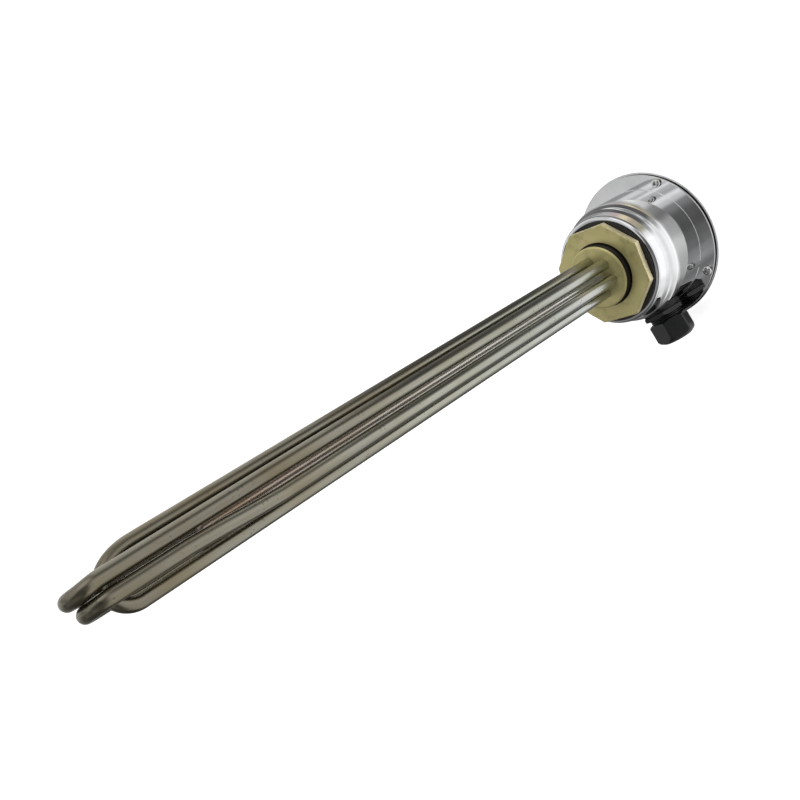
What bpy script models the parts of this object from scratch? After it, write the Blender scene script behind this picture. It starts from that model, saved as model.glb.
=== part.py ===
"""Screw-in immersion heater: three hairpin elements and a sensor pocket in an octagonal brass plug,
with a stainless terminal housing, its lid and a cable gland.

Metres, +Z up along the elements. The heater stands on its lid: the origin is the centre of the lid's
outer face, and the cable gland points along +X.
"""

import math
from dataclasses import dataclass

import bmesh
import bpy
from mathutils import Matrix, Vector

MM = 0.001

# Fits
SEAT_GAP = 0.3 * MM  # between pieces that touch
FIT_GAP = 0.35 * MM  # round a pin in its hole
MERGE = 0.00001
STEPS_LARGE = 40
STEPS_SMALL = 18
STEPS_FINE = 12

# Heating elements
TUBE_RADIUS = 4.25 * MM
TUBE_SIDES = 16
ELEMENT_GAP = 4.45 * MM  # between the pocket and the elements round it
IMMERSED_LENGTH = 444.0 * MM  # from the end of the threaded boss to the longest tips
RIGHT_SETBACK = 3.9 * MM  # the right hairpin's tip lies this far below the longest
CROSSING_SETBACK = 15.4 * MM  # the wide hairpin stops this far short and crosses inside the other two
WIDE_BEND_REACH = 22 * MM  # its left leg straightens this far below its top
BACK_RIGHT_LEAN = 0.75 * MM  # how far the right hairpin's back leg lies towards the left one
BACK_LEG_GAP = 0.45 * MM  # left between the two back legs
FRONT_RIGHT_LEAN = 3.0 * MM  # the left one's front leg takes what is left of the room, at its bend
LEFT_BACK_SPAN = (150 * MM, 85 * MM)  # the depths below the tip between which a leg leans over
LEFT_FRONT_SPAN = (18 * MM, 5 * MM)
RIGHT_BACK_SPAN = (110 * MM, 40 * MM)
RIGHT_FRONT_SPAN = (118 * MM, 50 * MM)
UPRIGHT = (0.0, 2 * MM, 1 * MM)
BEND_STEPS = 14
LEAN_STEPS = 4
COLD_END = 8.5 * MM  # tube that stands out of the plug inside the housing
SOCKET_DEPTH = 3 * MM  # recess for the insulator in a tube's cold end
SOCKET_WALL = 0.9 * MM

# Sensor pocket and the thermostat whose stem it holds
POCKET_RADIUS = 4 * MM
POCKET_WALL = 0.75 * MM
POCKET_LENGTH = 372 * MM  # immersed
POCKET_TAIL = 23 * MM  # that stands out of the plug inside the housing
STEM_IN_POCKET = 260 * MM
CASE_LENGTH = 42 * MM
CASE_WIDTH = 34 * MM
CASE_HEIGHT = 13.5 * MM
CASE_EDGE = 1.6 * MM
CASE_COLLAR_RADIUS = 6 * MM
CASE_COLLAR_HEIGHT = 3.5 * MM
DIAL_RADIUS = 8 * MM
DIAL_HEIGHT = 2.4 * MM
DIAL_SLOT_WIDTH = 1.2 * MM
DIAL_SLOT_DEPTH = 1 * MM
CASE_SCREW_RADIUS = 2.6 * MM
CASE_SCREW_HEIGHT = 2 * MM
CASE_SCREW_OFFSET = 15 * MM

# Brass plug
BOSS_RADIUS = 23.9 * MM
BOSS_LENGTH = 7.3 * MM
BOSS_CHAMFER = 1.1 * MM
OCTAGON_FLATS = 71.8 * MM
OCTAGON_THICKNESS = 5.8 * MM
OCTAGON_TURN = math.radians(-10)
OCTAGON_EDGE = 0.7 * MM
SPIGOT_WALL = 3.05 * MM  # round the element holes
SPIGOT_LENGTH = 15 * MM
PLUG_SEAL_THICKNESS = 1.4 * MM
PLUG_SEAL_MARGIN = 0.2 * MM  # inside the flat end of the housing
CLAMP_WASHER_THICKNESS = 1.5 * MM
CLAMP_WASHER_WIDTH = 6 * MM
CLAMP_NUT_THICKNESS = 6.5 * MM
CLAMP_NUT_WALL = 4.8 * MM

# Terminal housing, a spun can
SHEET = 1.5 * MM
BODY_RADIUS = 47 * MM
BODY_LENGTH = 43.2 * MM  # from the flange's face to the groove below the collar
SHOULDER_RADIUS = 3.6 * MM
COLLAR_STEP = 4.1 * MM  # the collar is this much smaller in radius than the body
COLLAR_LENGTH = 12.8 * MM  # from the groove to the flat end
COLLAR_TAPER = 0.7 * MM
GROOVE_DEPTH = 0.6 * MM
GROOVE_HEIGHT = 0.8 * MM
LIP_RADIUS = 2.8 * MM
FLANGE_WIDTH = 11.3 * MM
FLANGE_FILLET = 1.4 * MM
FLANGE_EDGE = 0.5 * MM

# Lid
LID_OVERHANG = 1.4 * MM
LID_THICKNESS = 4 * MM
LID_RIM_EDGE = 0.3 * MM
LID_BEVEL = 2.6 * MM  # round the outer face, where the rim thins out
LID_GASKET_THICKNESS = 1 * MM
LID_GASKET_INSET = 1 * MM
REGISTER_HEIGHT = 3 * MM
REGISTER_WIDTH = 2 * MM
SCREW_COUNT = 4
SCREW_FIRST_ANGLE = math.radians(45)
SCREW_RADIUS = 1.95 * MM
SCREW_BITE = 3 * MM  # depth of the screw in the lid
SCREW_HEAD_RADIUS = 3.5 * MM
SCREW_HEAD_HEIGHT = 2.8 * MM
SCREW_HEAD_EDGE = 0.4 * MM
SCREW_SOCKET_FLATS = 3 * MM
SCREW_SOCKET_DEPTH = 1.8 * MM
SCREW_EDGE_MARGIN = 0.4 * MM  # from a head to the flange's edge

# Terminals
STUD_RADIUS = 1.95 * MM
STUD_COLLAR_RADIUS = 3.6 * MM
STUD_COLLAR_HEIGHT = 3 * MM
STUD_TAIL = 5.2 * MM  # past the link
BUSH_HEAD_HEIGHT = 2 * MM
LINK_THICKNESS = 1 * MM
LINK_WIDTH = 8 * MM
STUD_NUT_FLATS = 7 * MM
STUD_NUT_HEIGHT = 3.2 * MM
EARTH_RADIUS = 2.45 * MM
EARTH_LENGTH = 14 * MM
EARTH_BASE_RADIUS = 4 * MM
EARTH_BASE_HEIGHT = 1 * MM
EARTH_MARGIN = 0.8 * MM  # between the earth washer and its neighbours
EARTH_WASHER_HEIGHT = 1 * MM
EARTH_NUT_FLATS = 8 * MM
EARTH_NUT_HEIGHT = 4 * MM

# Cable gland
GLAND_DROP = 35.6 * MM  # from the housing's flat end down to the gland's axis
GLAND_THREAD_RADIUS = 12.5 * MM
GLAND_BORE_RADIUS = 9 * MM
GLAND_SHOULDER = 2.5 * MM  # the seal and the hexagon's flats reach this far past the thread
GLAND_SEAL_HEIGHT = 0.6 * MM
GLAND_HEX_HEIGHT = 3.4 * MM
GLAND_NECK = 11.3 * MM
GLAND_NUT_STANDOFF = 4.1 * MM  # thread that shows between the hexagon and the cap nut
GLAND_TAIL = 12.8 * MM  # thread inside the hex, through the wall and the lock nut
GLAND_NUT_WALL = 1.5 * MM  # over the thread, at the middle of a flat
GLAND_NUT_TURN = math.radians(13)
GLAND_NUT_HEIGHT = 18 * MM
GLAND_DOME_DROP = 3.4 * MM  # how far the domed end falls to the nut's flats
GLAND_DOME_RADIUS = 5 * MM
GLAND_MOUTH_RADIUS = 8 * MM
GLAND_MOUTH_LAND = 2.6 * MM
INSERT_RADIUS = 10.6 * MM
INSERT_BORE_RADIUS = 6.5 * MM
INSERT_HEIGHT = 8 * MM
LOCK_NUT_WALL = 3 * MM
LOCK_NUT_HEIGHT = 5 * MM

# Levels that follow from the sizes above
LID_INNER = LID_THICKNESS
GASKET_BOTTOM = LID_INNER + SEAT_GAP
FLANGE_BOTTOM = GASKET_BOTTOM + LID_GASKET_THICKNESS + SEAT_GAP
FLANGE_TOP = FLANGE_BOTTOM + SHEET
GROOVE_LEVEL = FLANGE_TOP + BODY_LENGTH
HOUSING_TOP = GROOVE_LEVEL + COLLAR_LENGTH
HOUSING_CEILING = HOUSING_TOP - SHEET
SEAL_BOTTOM = HOUSING_TOP + SEAT_GAP
OCTAGON_BOTTOM = SEAL_BOTTOM + PLUG_SEAL_THICKNESS + SEAT_GAP
OCTAGON_TOP = OCTAGON_BOTTOM + OCTAGON_THICKNESS
BOSS_TOP = OCTAGON_TOP + BOSS_LENGTH
SPIGOT_END = OCTAGON_BOTTOM - SPIGOT_LENGTH
TUBE_END = SPIGOT_END - COLD_END
TIP_LEVEL = BOSS_TOP + IMMERSED_LENGTH
POCKET_TIP = BOSS_TOP + POCKET_LENGTH
POCKET_END = SPIGOT_END - POCKET_TAIL
CASE_TOP = POCKET_END - SEAT_GAP - CASE_COLLAR_HEIGHT
CASE_BOTTOM = CASE_TOP - CASE_HEIGHT
BUSH_BOTTOM = TUBE_END - SEAT_GAP - BUSH_HEAD_HEIGHT
STUD_COLLAR_TOP = BUSH_BOTTOM - SEAT_GAP
LINK_TOP = STUD_COLLAR_TOP - STUD_COLLAR_HEIGHT - SEAT_GAP
LINK_BOTTOM = LINK_TOP - LINK_THICKNESS
GLAND_LEVEL = HOUSING_TOP - GLAND_DROP

# Radii that follow
ELEMENT_CIRCLE = POCKET_RADIUS + ELEMENT_GAP + TUBE_RADIUS
LEG_ROOM = ELEMENT_CIRCLE - 2 * TUBE_RADIUS  # between neighbouring legs where they stand straight
SPIGOT_RADIUS = ELEMENT_CIRCLE + TUBE_RADIUS + SPIGOT_WALL
BODY_INNER = BODY_RADIUS - SHEET
COLLAR_RADIUS = BODY_RADIUS - COLLAR_STEP
COLLAR_INNER = COLLAR_RADIUS - COLLAR_TAPER - SHEET
END_FLAT_RADIUS = COLLAR_RADIUS - COLLAR_TAPER - LIP_RADIUS
FLANGE_RADIUS = BODY_RADIUS + FLANGE_WIDTH
LID_RADIUS = FLANGE_RADIUS + LID_OVERHANG
SCREW_CIRCLE = FLANGE_RADIUS - SCREW_HEAD_RADIUS - SCREW_EDGE_MARGIN
CLAMP_NUT_RADIUS = SPIGOT_RADIUS + FIT_GAP + CLAMP_NUT_WALL
EARTH_ROOM = (COLLAR_INNER - CLAMP_NUT_RADIUS / math.cos(math.pi / 6)) / 2
EARTH_CIRCLE = COLLAR_INNER - EARTH_ROOM
EARTH_WASHER_RADIUS = EARTH_ROOM - EARTH_MARGIN
GLAND_SEAL_RADIUS = GLAND_THREAD_RADIUS + GLAND_SHOULDER
GLAND_HEX_FLATS = 2 * GLAND_SEAL_RADIUS
GLAND_NUT_FLATS = 2 * (GLAND_THREAD_RADIUS + GLAND_NUT_WALL)
LOCK_NUT_FLATS = 2 * (GLAND_THREAD_RADIUS + LOCK_NUT_WALL)
GLAND_SEAL_TOP = BODY_RADIUS + SEAT_GAP + GLAND_SEAL_HEIGHT
GLAND_HEX_START = GLAND_SEAL_TOP + SEAT_GAP

BEND_RADIUS = ELEMENT_CIRCLE * math.sin(math.pi / 3)


@dataclass(frozen=True)
class Hairpin:
    """One bent element: its legs' angles on the element circle and how its bend lies."""

    name: str
    legs: tuple
    tip: float
    reaches: tuple  # how far below the bend's top each leg becomes straight
    leans: tuple = (UPRIGHT, UPRIGHT)  # each leg's way sideways


HAIRPINS = (
    Hairpin(
        "hairpin_left",
        (-120, 120),
        TIP_LEVEL,
        (BEND_RADIUS, BEND_RADIUS),
        (
            (LEG_ROOM - BACK_RIGHT_LEAN - BACK_LEG_GAP, *LEFT_BACK_SPAN),
            (LEG_ROOM - FRONT_RIGHT_LEAN, *LEFT_FRONT_SPAN),
        ),
    ),
    Hairpin(
        "hairpin_right",
        (-60, 60),
        TIP_LEVEL - RIGHT_SETBACK,
        (BEND_RADIUS, BEND_RADIUS),
        ((-BACK_RIGHT_LEAN, *RIGHT_BACK_SPAN), (-FRONT_RIGHT_LEAN, *RIGHT_FRONT_SPAN)),
    ),
    Hairpin("hairpin_wide", (0, 180), TIP_LEVEL - CROSSING_SETBACK, (ELEMENT_CIRCLE, WIDE_BEND_REACH)),
)
LINKED_LEGS = ((0, -60), (60, 120), (180, -120))

STAINLESS = ("stainless_polished", (0.75, 0.76, 0.78), 0.12, 1.0)
STAINLESS_PLAIN = ("stainless_plain", (0.55, 0.56, 0.57), 0.35, 1.0)
SHEATH = ("element_sheath", (0.24, 0.23, 0.20), 0.38, 1.0)
POCKET_STEEL = ("pocket_steel", (0.33, 0.28, 0.23), 0.40, 1.0)
BRASS = ("plug_brass", (0.42, 0.37, 0.20), 0.42, 1.0)
BRIGHT_BRASS = ("terminal_brass", (0.62, 0.48, 0.22), 0.30, 1.0)
RUBBER = ("black_rubber", (0.015, 0.014, 0.013), 0.75, 0.0)
GLAND_PLASTIC = ("gland_plastic", (0.016, 0.017, 0.018), 0.38, 0.0)
CERAMIC = ("white_ceramic", (0.80, 0.78, 0.72), 0.45, 0.0)
CASE_PLASTIC = ("case_plastic", (0.62, 0.60, 0.54), 0.45, 0.0)
STEEL = ("zinc_steel", (0.55, 0.56, 0.56), 0.32, 1.0)


def clear_scene():
    """Removes every object of the startup scene."""
    for obj in list(bpy.data.objects):
        bpy.data.objects.remove(obj, do_unlink=True)


def new_collection(name):
    """A collection in the scene."""
    collection = bpy.data.collections.new(name)
    bpy.context.scene.collection.children.link(collection)
    return collection


clear_scene()
PARTS = new_collection("immersion_heater")
CUTTERS = new_collection("cutters")


def material_of(finish):
    """The material for a finish of (name, colour, roughness, metallic), made once."""
    name, colour, roughness, metallic = finish
    material = bpy.data.materials.get(name)
    if material is None:
        material = bpy.data.materials.new(name)
        material.use_nodes = True
        shader = material.node_tree.nodes["Principled BSDF"]
        shader.inputs["Base Color"].default_value = (*colour, 1.0)
        shader.inputs["Roughness"].default_value = roughness
        shader.inputs["Metallic"].default_value = metallic
    return material


def add_part(name, data, finish):
    """A visible object with its own data and finish."""
    obj = bpy.data.objects.new(name, data)
    if not data.materials:
        data.materials.append(material_of(finish))
    PARTS.objects.link(obj)
    return obj


def as_cutter(obj):
    """Turns an object into a hidden cutter."""
    for collection in list(obj.users_collection):
        collection.objects.unlink(obj)
    CUTTERS.objects.link(obj)
    obj.hide_render = True
    obj.display_type = "WIRE"
    return obj


def polar(radius, angle, level=0.0):
    """A point at a radius and an angle in radians round the heater's axis."""
    return Vector((radius * math.cos(angle), radius * math.sin(angle), level))


def corner(r, z, fillet=0.0, steps=5):
    """One corner of a turned profile, with the fillet that rounds it."""
    return r, z, fillet, steps


def rounded_path(corners, closed):
    """Profile points (r, z) with each corner that has a fillet replaced by an arc."""
    points = []
    count = len(corners)
    for i, (r, z, fillet, steps) in enumerate(corners):
        here = Vector((r, z))
        at_end = not closed and i in (0, count - 1)
        if fillet == 0.0 or at_end:
            points.append(here)
            continue
        before = (Vector(corners[i - 1][:2]) - here).normalized()
        after = (Vector(corners[(i + 1) % count][:2]) - here).normalized()
        half = before.angle(after) / 2
        reach = fillet / math.tan(half)
        centre = here + (before + after).normalized() * (fillet / math.sin(half))
        start = here + before * reach - centre
        sweep = math.pi - 2 * half
        turn = math.copysign(sweep, start.cross(here + after * reach - centre))
        for step in range(steps + 1):
            points.append(centre + Matrix.Rotation(turn * step / steps, 2) @ start)
    return points


def turned(name, corners, finish, steps=STEPS_SMALL, closed=True):
    """A solid of revolution about Z. The corners run down the outer side, top to bottom."""
    points = rounded_path(corners, closed)
    mesh = bpy.data.meshes.new(name)
    edges = [(i, i + 1) for i in range(len(points) - 1)]
    if closed:
        edges.append((len(points) - 1, 0))
    mesh.from_pydata([(p.x, 0.0, p.y) for p in points], edges, [])
    obj = add_part(name, mesh, finish)
    screw = obj.modifiers.new("Turn", "SCREW")
    screw.axis = "Z"
    screw.steps = steps
    screw.render_steps = steps
    screw.use_merge_vertices = True
    screw.merge_threshold = MERGE
    screw.use_smooth_shade = True
    return obj


def ring(name, inner, outer, bottom, top, finish, steps=STEPS_SMALL, edge=0.0):
    """A turned ring between two radii and two levels."""
    corners = [
        corner(inner, top),
        corner(outer, top, edge, 2),
        corner(outer, bottom, edge, 2),
        corner(inner, bottom),
    ]
    return turned(name, corners, finish, steps)


def rod(name, radius, bottom, top, finish, steps=STEPS_SMALL, edge=0.0):
    """A turned solid rod between two levels."""
    corners = [
        corner(0.0, top),
        corner(radius, top, edge, 2),
        corner(radius, bottom, edge, 2),
        corner(0.0, bottom),
    ]
    return turned(name, corners, finish, steps, closed=False)


def hole(name, radius, bottom, top, steps=STEPS_SMALL):
    """A cutter for a round hole. Its flats, and not its corners, lie at the radius."""
    return rod(name, radius / math.cos(math.pi / steps), bottom, top, STEEL, steps)


def prism(name, sides, flats, bottom, top, finish, edge=0.0, turned_by=0.0):
    """A regular prism by its width across flats, with a flat facing +X unless it is turned."""
    mesh = bpy.data.meshes.new(name)
    work = bmesh.new()
    radius = flats / 2 / math.cos(math.pi / sides)
    bmesh.ops.create_cone(
        work, cap_ends=True, segments=sides, radius1=radius, radius2=radius, depth=top - bottom
    )
    turn = Matrix.Rotation(math.pi / sides + turned_by, 4, "Z")
    shift = Matrix.Translation((0.0, 0.0, (top + bottom) / 2))
    first = work.verts[:][0].co.xy.angle_signed(Vector((1.0, 0.0)))
    bmesh.ops.transform(work, matrix=shift @ turn @ Matrix.Rotation(first, 4, "Z"), verts=work.verts)
    if edge:
        bmesh.ops.bevel(
            work, geom=work.edges[:], offset=edge, offset_type="OFFSET", segments=1, affect="EDGES"
        )
    work.to_mesh(mesh)
    work.free()
    return add_part(name, mesh, finish)


def combine(target, other, operation):
    """Adds a Boolean with another object, which becomes a hidden cutter."""
    as_cutter(other)
    boolean = target.modifiers.new(other.name, "BOOLEAN")
    boolean.operation = operation
    boolean.solver = "EXACT"
    boolean.object = other
    return target


def cut(target, other):
    """Cuts another solid out of the target."""
    return combine(target, other, "DIFFERENCE")


def join(target, other):
    """Joins another solid to the target."""
    return combine(target, other, "UNION")


def keep_common(target, other):
    """Keeps what the target and another solid share."""
    return combine(target, other, "INTERSECT")


def frozen(obj):
    """Replaces an object by its evaluated mesh and removes the cutters that it used."""
    bpy.context.view_layer.update()
    evaluated = obj.evaluated_get(bpy.context.evaluated_depsgraph_get())
    mesh = bpy.data.meshes.new_from_object(evaluated)
    work = bmesh.new()
    work.from_mesh(mesh)
    bmesh.ops.remove_doubles(work, verts=work.verts, dist=MERGE)
    work.to_mesh(mesh)
    work.free()
    mesh.name = obj.name
    used = [m.object for m in obj.modifiers if m.type == "BOOLEAN"]
    name, matrix = obj.name, obj.matrix_world.copy()
    for old in (obj, *used):
        bpy.data.objects.remove(old, do_unlink=True)
    solid = bpy.data.objects.new(name, mesh)
    PARTS.objects.link(solid)
    solid.matrix_world = matrix
    return solid


def copies_of(first, name, places):
    """Objects that share the first one's mesh, one at each place. The first takes the first place."""
    made = []
    for number, place in enumerate(places, 1):
        obj = first if number == 1 else bpy.data.objects.new(name, first.data)
        if number > 1:
            PARTS.objects.link(obj)
        obj.name = f"{name}_{number}"
        obj.location = place
        made.append(obj)
    return made


def leg_angles():
    """The angles of the six legs round the element circle, in order."""
    return [math.radians(60 * i) for i in range(6)]


def lean_at(pin, leg, level):
    """How far one leg of a hairpin has moved sideways at a level."""
    shift, low_depth, high_depth = pin.leans[leg]
    share = min(max((level - pin.tip + low_depth) / (low_depth - high_depth), 0.0), 1.0)
    return shift * share * share * (3 - 2 * share)


def lean_levels(pin, leg, top):
    """The levels on a straight leg where its centre line needs a point."""
    shift, low_depth, high_depth = pin.leans[leg]
    low = pin.tip - low_depth
    high = min(pin.tip - high_depth, top)
    if shift == 0.0 or high <= low:
        return [TUBE_END]
    return [TUBE_END] + [low + (high - low) * i / LEAN_STEPS for i in range(LEAN_STEPS + 1)]


def hairpin_points(pin):
    """The centre line of a hairpin: two legs and the bend between them."""
    start, end = (polar(ELEMENT_CIRCLE, math.radians(a)) for a in pin.legs)
    middle = (start + end) / 2
    across = start - middle
    top = pin.tip - TUBE_RADIUS
    up, down = (lean_levels(pin, leg, top - pin.reaches[leg] - 1 * MM) for leg in (0, 1))
    points = [start + Vector((lean_at(pin, 0, level), 0.0, level)) for level in up]
    for step in range(BEND_STEPS + 1):
        angle = math.pi * step / BEND_STEPS
        reach = pin.reaches[0] if step < BEND_STEPS / 2 else pin.reaches[1]
        level = top - reach * (1 - math.sin(angle))
        share = (1 - math.cos(angle)) / 2
        lean = lean_at(pin, 0, level) * (1 - share) + lean_at(pin, 1, level) * share
        points.append(middle + across * math.cos(angle) + Vector((lean, 0.0, level)))
    points += [end + Vector((lean_at(pin, 1, level), 0.0, level)) for level in reversed(down)]
    return points


def swept_tube(name, points, radius, finish):
    """A solid round tube along a line of points, as a mesh with welded caps."""
    curve = bpy.data.curves.new(name, "CURVE")
    curve.dimensions = "3D"
    spline = curve.splines.new("POLY")
    spline.points.add(len(points) - 1)
    for point, place in zip(spline.points, points):
        point.co = (*place, 1.0)
    curve.bevel_depth = radius
    curve.bevel_resolution = (TUBE_SIDES - 4) // 2
    curve.use_fill_caps = True
    tube = frozen(add_part(name, curve, finish))
    for face in tube.data.polygons:
        face.use_smooth = len(face.vertices) == 4
    return tube


def build_hairpins():
    """Three bent elements. The wide one crosses inside the bends of the other two."""
    for pin in HAIRPINS:
        tube = swept_tube(pin.name, hairpin_points(pin), TUBE_RADIUS, SHEATH)
        for side, leg in zip("ab", pin.legs):
            socket = hole(
                f"socket_{pin.name}_{side}",
                TUBE_RADIUS - SOCKET_WALL,
                TUBE_END - 1 * MM,
                TUBE_END + SOCKET_DEPTH,
                STEPS_FINE,
            )
            socket.location = polar(ELEMENT_CIRCLE, math.radians(leg))
            cut(tube, socket)


def build_pocket():
    """The closed tube in the middle of the elements, open inside the housing."""
    inner = POCKET_RADIUS - POCKET_WALL
    corners = [
        corner(0.0, POCKET_TIP),
        corner(POCKET_RADIUS, POCKET_TIP, POCKET_RADIUS - POCKET_WALL, 4),
        corner(POCKET_RADIUS, POCKET_END),
        corner(inner, POCKET_END),
        corner(inner, POCKET_TIP - POCKET_RADIUS),
        corner(0.0, POCKET_TIP - POCKET_RADIUS),
    ]
    turned("sensor_pocket", corners, POCKET_STEEL, 16, closed=False)


def build_plug():
    """The brass plug: octagon, threaded boss and spigot in one, with the element holes."""
    overlap = 0.5 * MM
    plug = prism(
        "plug", 8, OCTAGON_FLATS, OCTAGON_BOTTOM, OCTAGON_TOP, BRASS, OCTAGON_EDGE
    )
    plug.rotation_euler.z = OCTAGON_TURN
    boss = turned(
        "boss",
        [
            corner(0.0, BOSS_TOP),
            corner(BOSS_RADIUS - BOSS_CHAMFER, BOSS_TOP),
            corner(BOSS_RADIUS, BOSS_TOP - BOSS_CHAMFER),
            corner(BOSS_RADIUS, OCTAGON_TOP - overlap),
            corner(0.0, OCTAGON_TOP - overlap),
        ],
        BRASS,
        STEPS_LARGE,
        closed=False,
    )
    spigot = rod(
        "spigot", SPIGOT_RADIUS, SPIGOT_END, OCTAGON_BOTTOM + overlap, BRASS, STEPS_LARGE, 0.8 * MM
    )
    join(plug, boss)
    join(plug, spigot)
    for number, angle in enumerate(leg_angles(), 1):
        passage = hole(
            f"element_hole_{number}", TUBE_RADIUS + SEAT_GAP, SPIGOT_END - 1 * MM, BOSS_TOP + 1 * MM
        )
        passage.location = polar(ELEMENT_CIRCLE, angle)
        cut(plug, passage)
    cut(plug, hole("pocket_hole", POCKET_RADIUS + SEAT_GAP, SPIGOT_END - 1 * MM, BOSS_TOP + 1 * MM))


def build_plug_fixing():
    """The seal under the octagon, and the washer and nut that clamp the plug in the housing."""
    bore = SPIGOT_RADIUS + FIT_GAP
    ring(
        "plug_seal",
        bore,
        END_FLAT_RADIUS - PLUG_SEAL_MARGIN,
        SEAL_BOTTOM,
        SEAL_BOTTOM + PLUG_SEAL_THICKNESS,
        RUBBER,
        STEPS_LARGE,
    )
    washer_top = HOUSING_CEILING - SEAT_GAP
    washer_bottom = washer_top - CLAMP_WASHER_THICKNESS
    ring(
        "clamp_washer",
        bore,
        bore + CLAMP_WASHER_WIDTH,
        washer_bottom,
        washer_top,
        STEEL,
        STEPS_LARGE,
    )
    nut_top = washer_bottom - SEAT_GAP
    nut = prism(
        "clamp_nut", 6, 2 * CLAMP_NUT_RADIUS, nut_top - CLAMP_NUT_THICKNESS, nut_top, BRIGHT_BRASS, 0.5 * MM
    )
    cut(nut, hole("clamp_nut_bore", bore, nut_top - 2 * CLAMP_NUT_THICKNESS, nut_top + 1 * MM, STEPS_LARGE))


def housing_corners():
    """The spun can's section: the outer side from the plug hole down to the flange, and back inside."""
    hole = SPIGOT_RADIUS + FIT_GAP
    collar_top = COLLAR_RADIUS - COLLAR_TAPER
    groove = COLLAR_RADIUS - GROOVE_DEPTH
    inner_shoulder = GROOVE_LEVEL - SHEET
    return [
        corner(hole, HOUSING_TOP),
        corner(collar_top, HOUSING_TOP, LIP_RADIUS, 4),
        corner(COLLAR_RADIUS, GROOVE_LEVEL + GROOVE_HEIGHT),
        corner(groove, GROOVE_LEVEL + GROOVE_HEIGHT / 2),
        corner(groove, GROOVE_LEVEL),
        corner(BODY_RADIUS, GROOVE_LEVEL, SHOULDER_RADIUS, 4),
        corner(BODY_RADIUS, FLANGE_TOP, FLANGE_FILLET, 2),
        corner(FLANGE_RADIUS, FLANGE_TOP, FLANGE_EDGE, 1),
        corner(FLANGE_RADIUS, FLANGE_BOTTOM, FLANGE_EDGE, 1),
        corner(BODY_INNER, FLANGE_BOTTOM, FLANGE_FILLET, 2),
        corner(BODY_INNER, inner_shoulder, SHOULDER_RADIUS - SHEET, 2),
        corner(COLLAR_INNER, inner_shoulder),
        corner(COLLAR_INNER, HOUSING_CEILING, LIP_RADIUS - SHEET, 2),
        corner(hole, HOUSING_CEILING),
    ]


def screw_places(level=0.0):
    """Where the lid screws stand."""
    step = 2 * math.pi / SCREW_COUNT
    return [polar(SCREW_CIRCLE, SCREW_FIRST_ANGLE + i * step, level) for i in range(SCREW_COUNT)]


def build_housing():
    """The polished terminal housing with its screw holes and gland hole."""
    housing = turned("housing", housing_corners(), STAINLESS, STEPS_LARGE)
    for number, place in enumerate(screw_places(), 1):
        through = hole(
            f"flange_hole_{number}", SCREW_RADIUS + FIT_GAP, FLANGE_BOTTOM - 1 * MM, FLANGE_TOP + 1 * MM
        )
        through.location = place
        cut(housing, through)
    opening = hole(
        "gland_hole", GLAND_THREAD_RADIUS + FIT_GAP, BODY_INNER - 6 * MM, BODY_RADIUS + 3 * MM, 24
    )
    cut(housing, along_gland(opening))


def build_lid():
    """The lid with its register rim and tapped blind holes, its gasket and the cap screws."""
    register = BODY_INNER - 1 * MM
    lid = turned(
        "lid",
        [
            corner(0.0, LID_INNER),
            corner(register - REGISTER_WIDTH, LID_INNER),
            corner(register - REGISTER_WIDTH, LID_INNER + REGISTER_HEIGHT),
            corner(register, LID_INNER + REGISTER_HEIGHT, 0.4 * MM, 1),
            corner(register, LID_INNER),
            corner(LID_RADIUS, LID_INNER, LID_RIM_EDGE, 1),
            corner(LID_RADIUS, LID_BEVEL, LID_RIM_EDGE, 2),
            corner(LID_RADIUS - LID_BEVEL, 0.0, LID_RIM_EDGE, 2),
            corner(0.0, 0.0),
        ],
        STAINLESS,
        STEPS_LARGE,
        closed=False,
    )
    gasket = ring(
        "lid_gasket",
        BODY_INNER + 0.5 * MM,
        FLANGE_RADIUS - LID_GASKET_INSET,
        GASKET_BOTTOM,
        GASKET_BOTTOM + LID_GASKET_THICKNESS,
        RUBBER,
        STEPS_LARGE,
    )
    for number, place in enumerate(screw_places(), 1):
        blind = hole(
            f"lid_hole_{number}",
            SCREW_RADIUS + FIT_GAP,
            LID_INNER - SCREW_BITE - SEAT_GAP,
            LID_INNER + 1 * MM,
        )
        blind.location = place
        cut(lid, blind)
        through = hole(
            f"gasket_hole_{number}",
            SCREW_RADIUS + FIT_GAP,
            GASKET_BOTTOM - 1 * MM,
            GASKET_BOTTOM + LID_GASKET_THICKNESS + 1 * MM,
        )
        through.location = place
        cut(gasket, through)


def build_lid_screws():
    """Socket-head screws whose heads stand on the flange's element side."""
    seat = FLANGE_TOP + SEAT_GAP
    screw = turned(
        "lid_screw",
        [
            corner(0.0, seat + SCREW_HEAD_HEIGHT),
            corner(SCREW_HEAD_RADIUS, seat + SCREW_HEAD_HEIGHT, SCREW_HEAD_EDGE, 2),
            corner(SCREW_HEAD_RADIUS, seat),
            corner(SCREW_RADIUS, seat),
            corner(SCREW_RADIUS, LID_INNER - SCREW_BITE),
            corner(0.0, LID_INNER - SCREW_BITE),
        ],
        STAINLESS_PLAIN,
        STEPS_SMALL,
        closed=False,
    )
    socket = prism(
        "screw_socket",
        6,
        SCREW_SOCKET_FLATS,
        seat + SCREW_HEAD_HEIGHT - SCREW_SOCKET_DEPTH,
        seat + SCREW_HEAD_HEIGHT + 1 * MM,
        STAINLESS_PLAIN,
    )
    copies_of(frozen(cut(screw, socket)), "lid_screw", screw_places())


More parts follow.
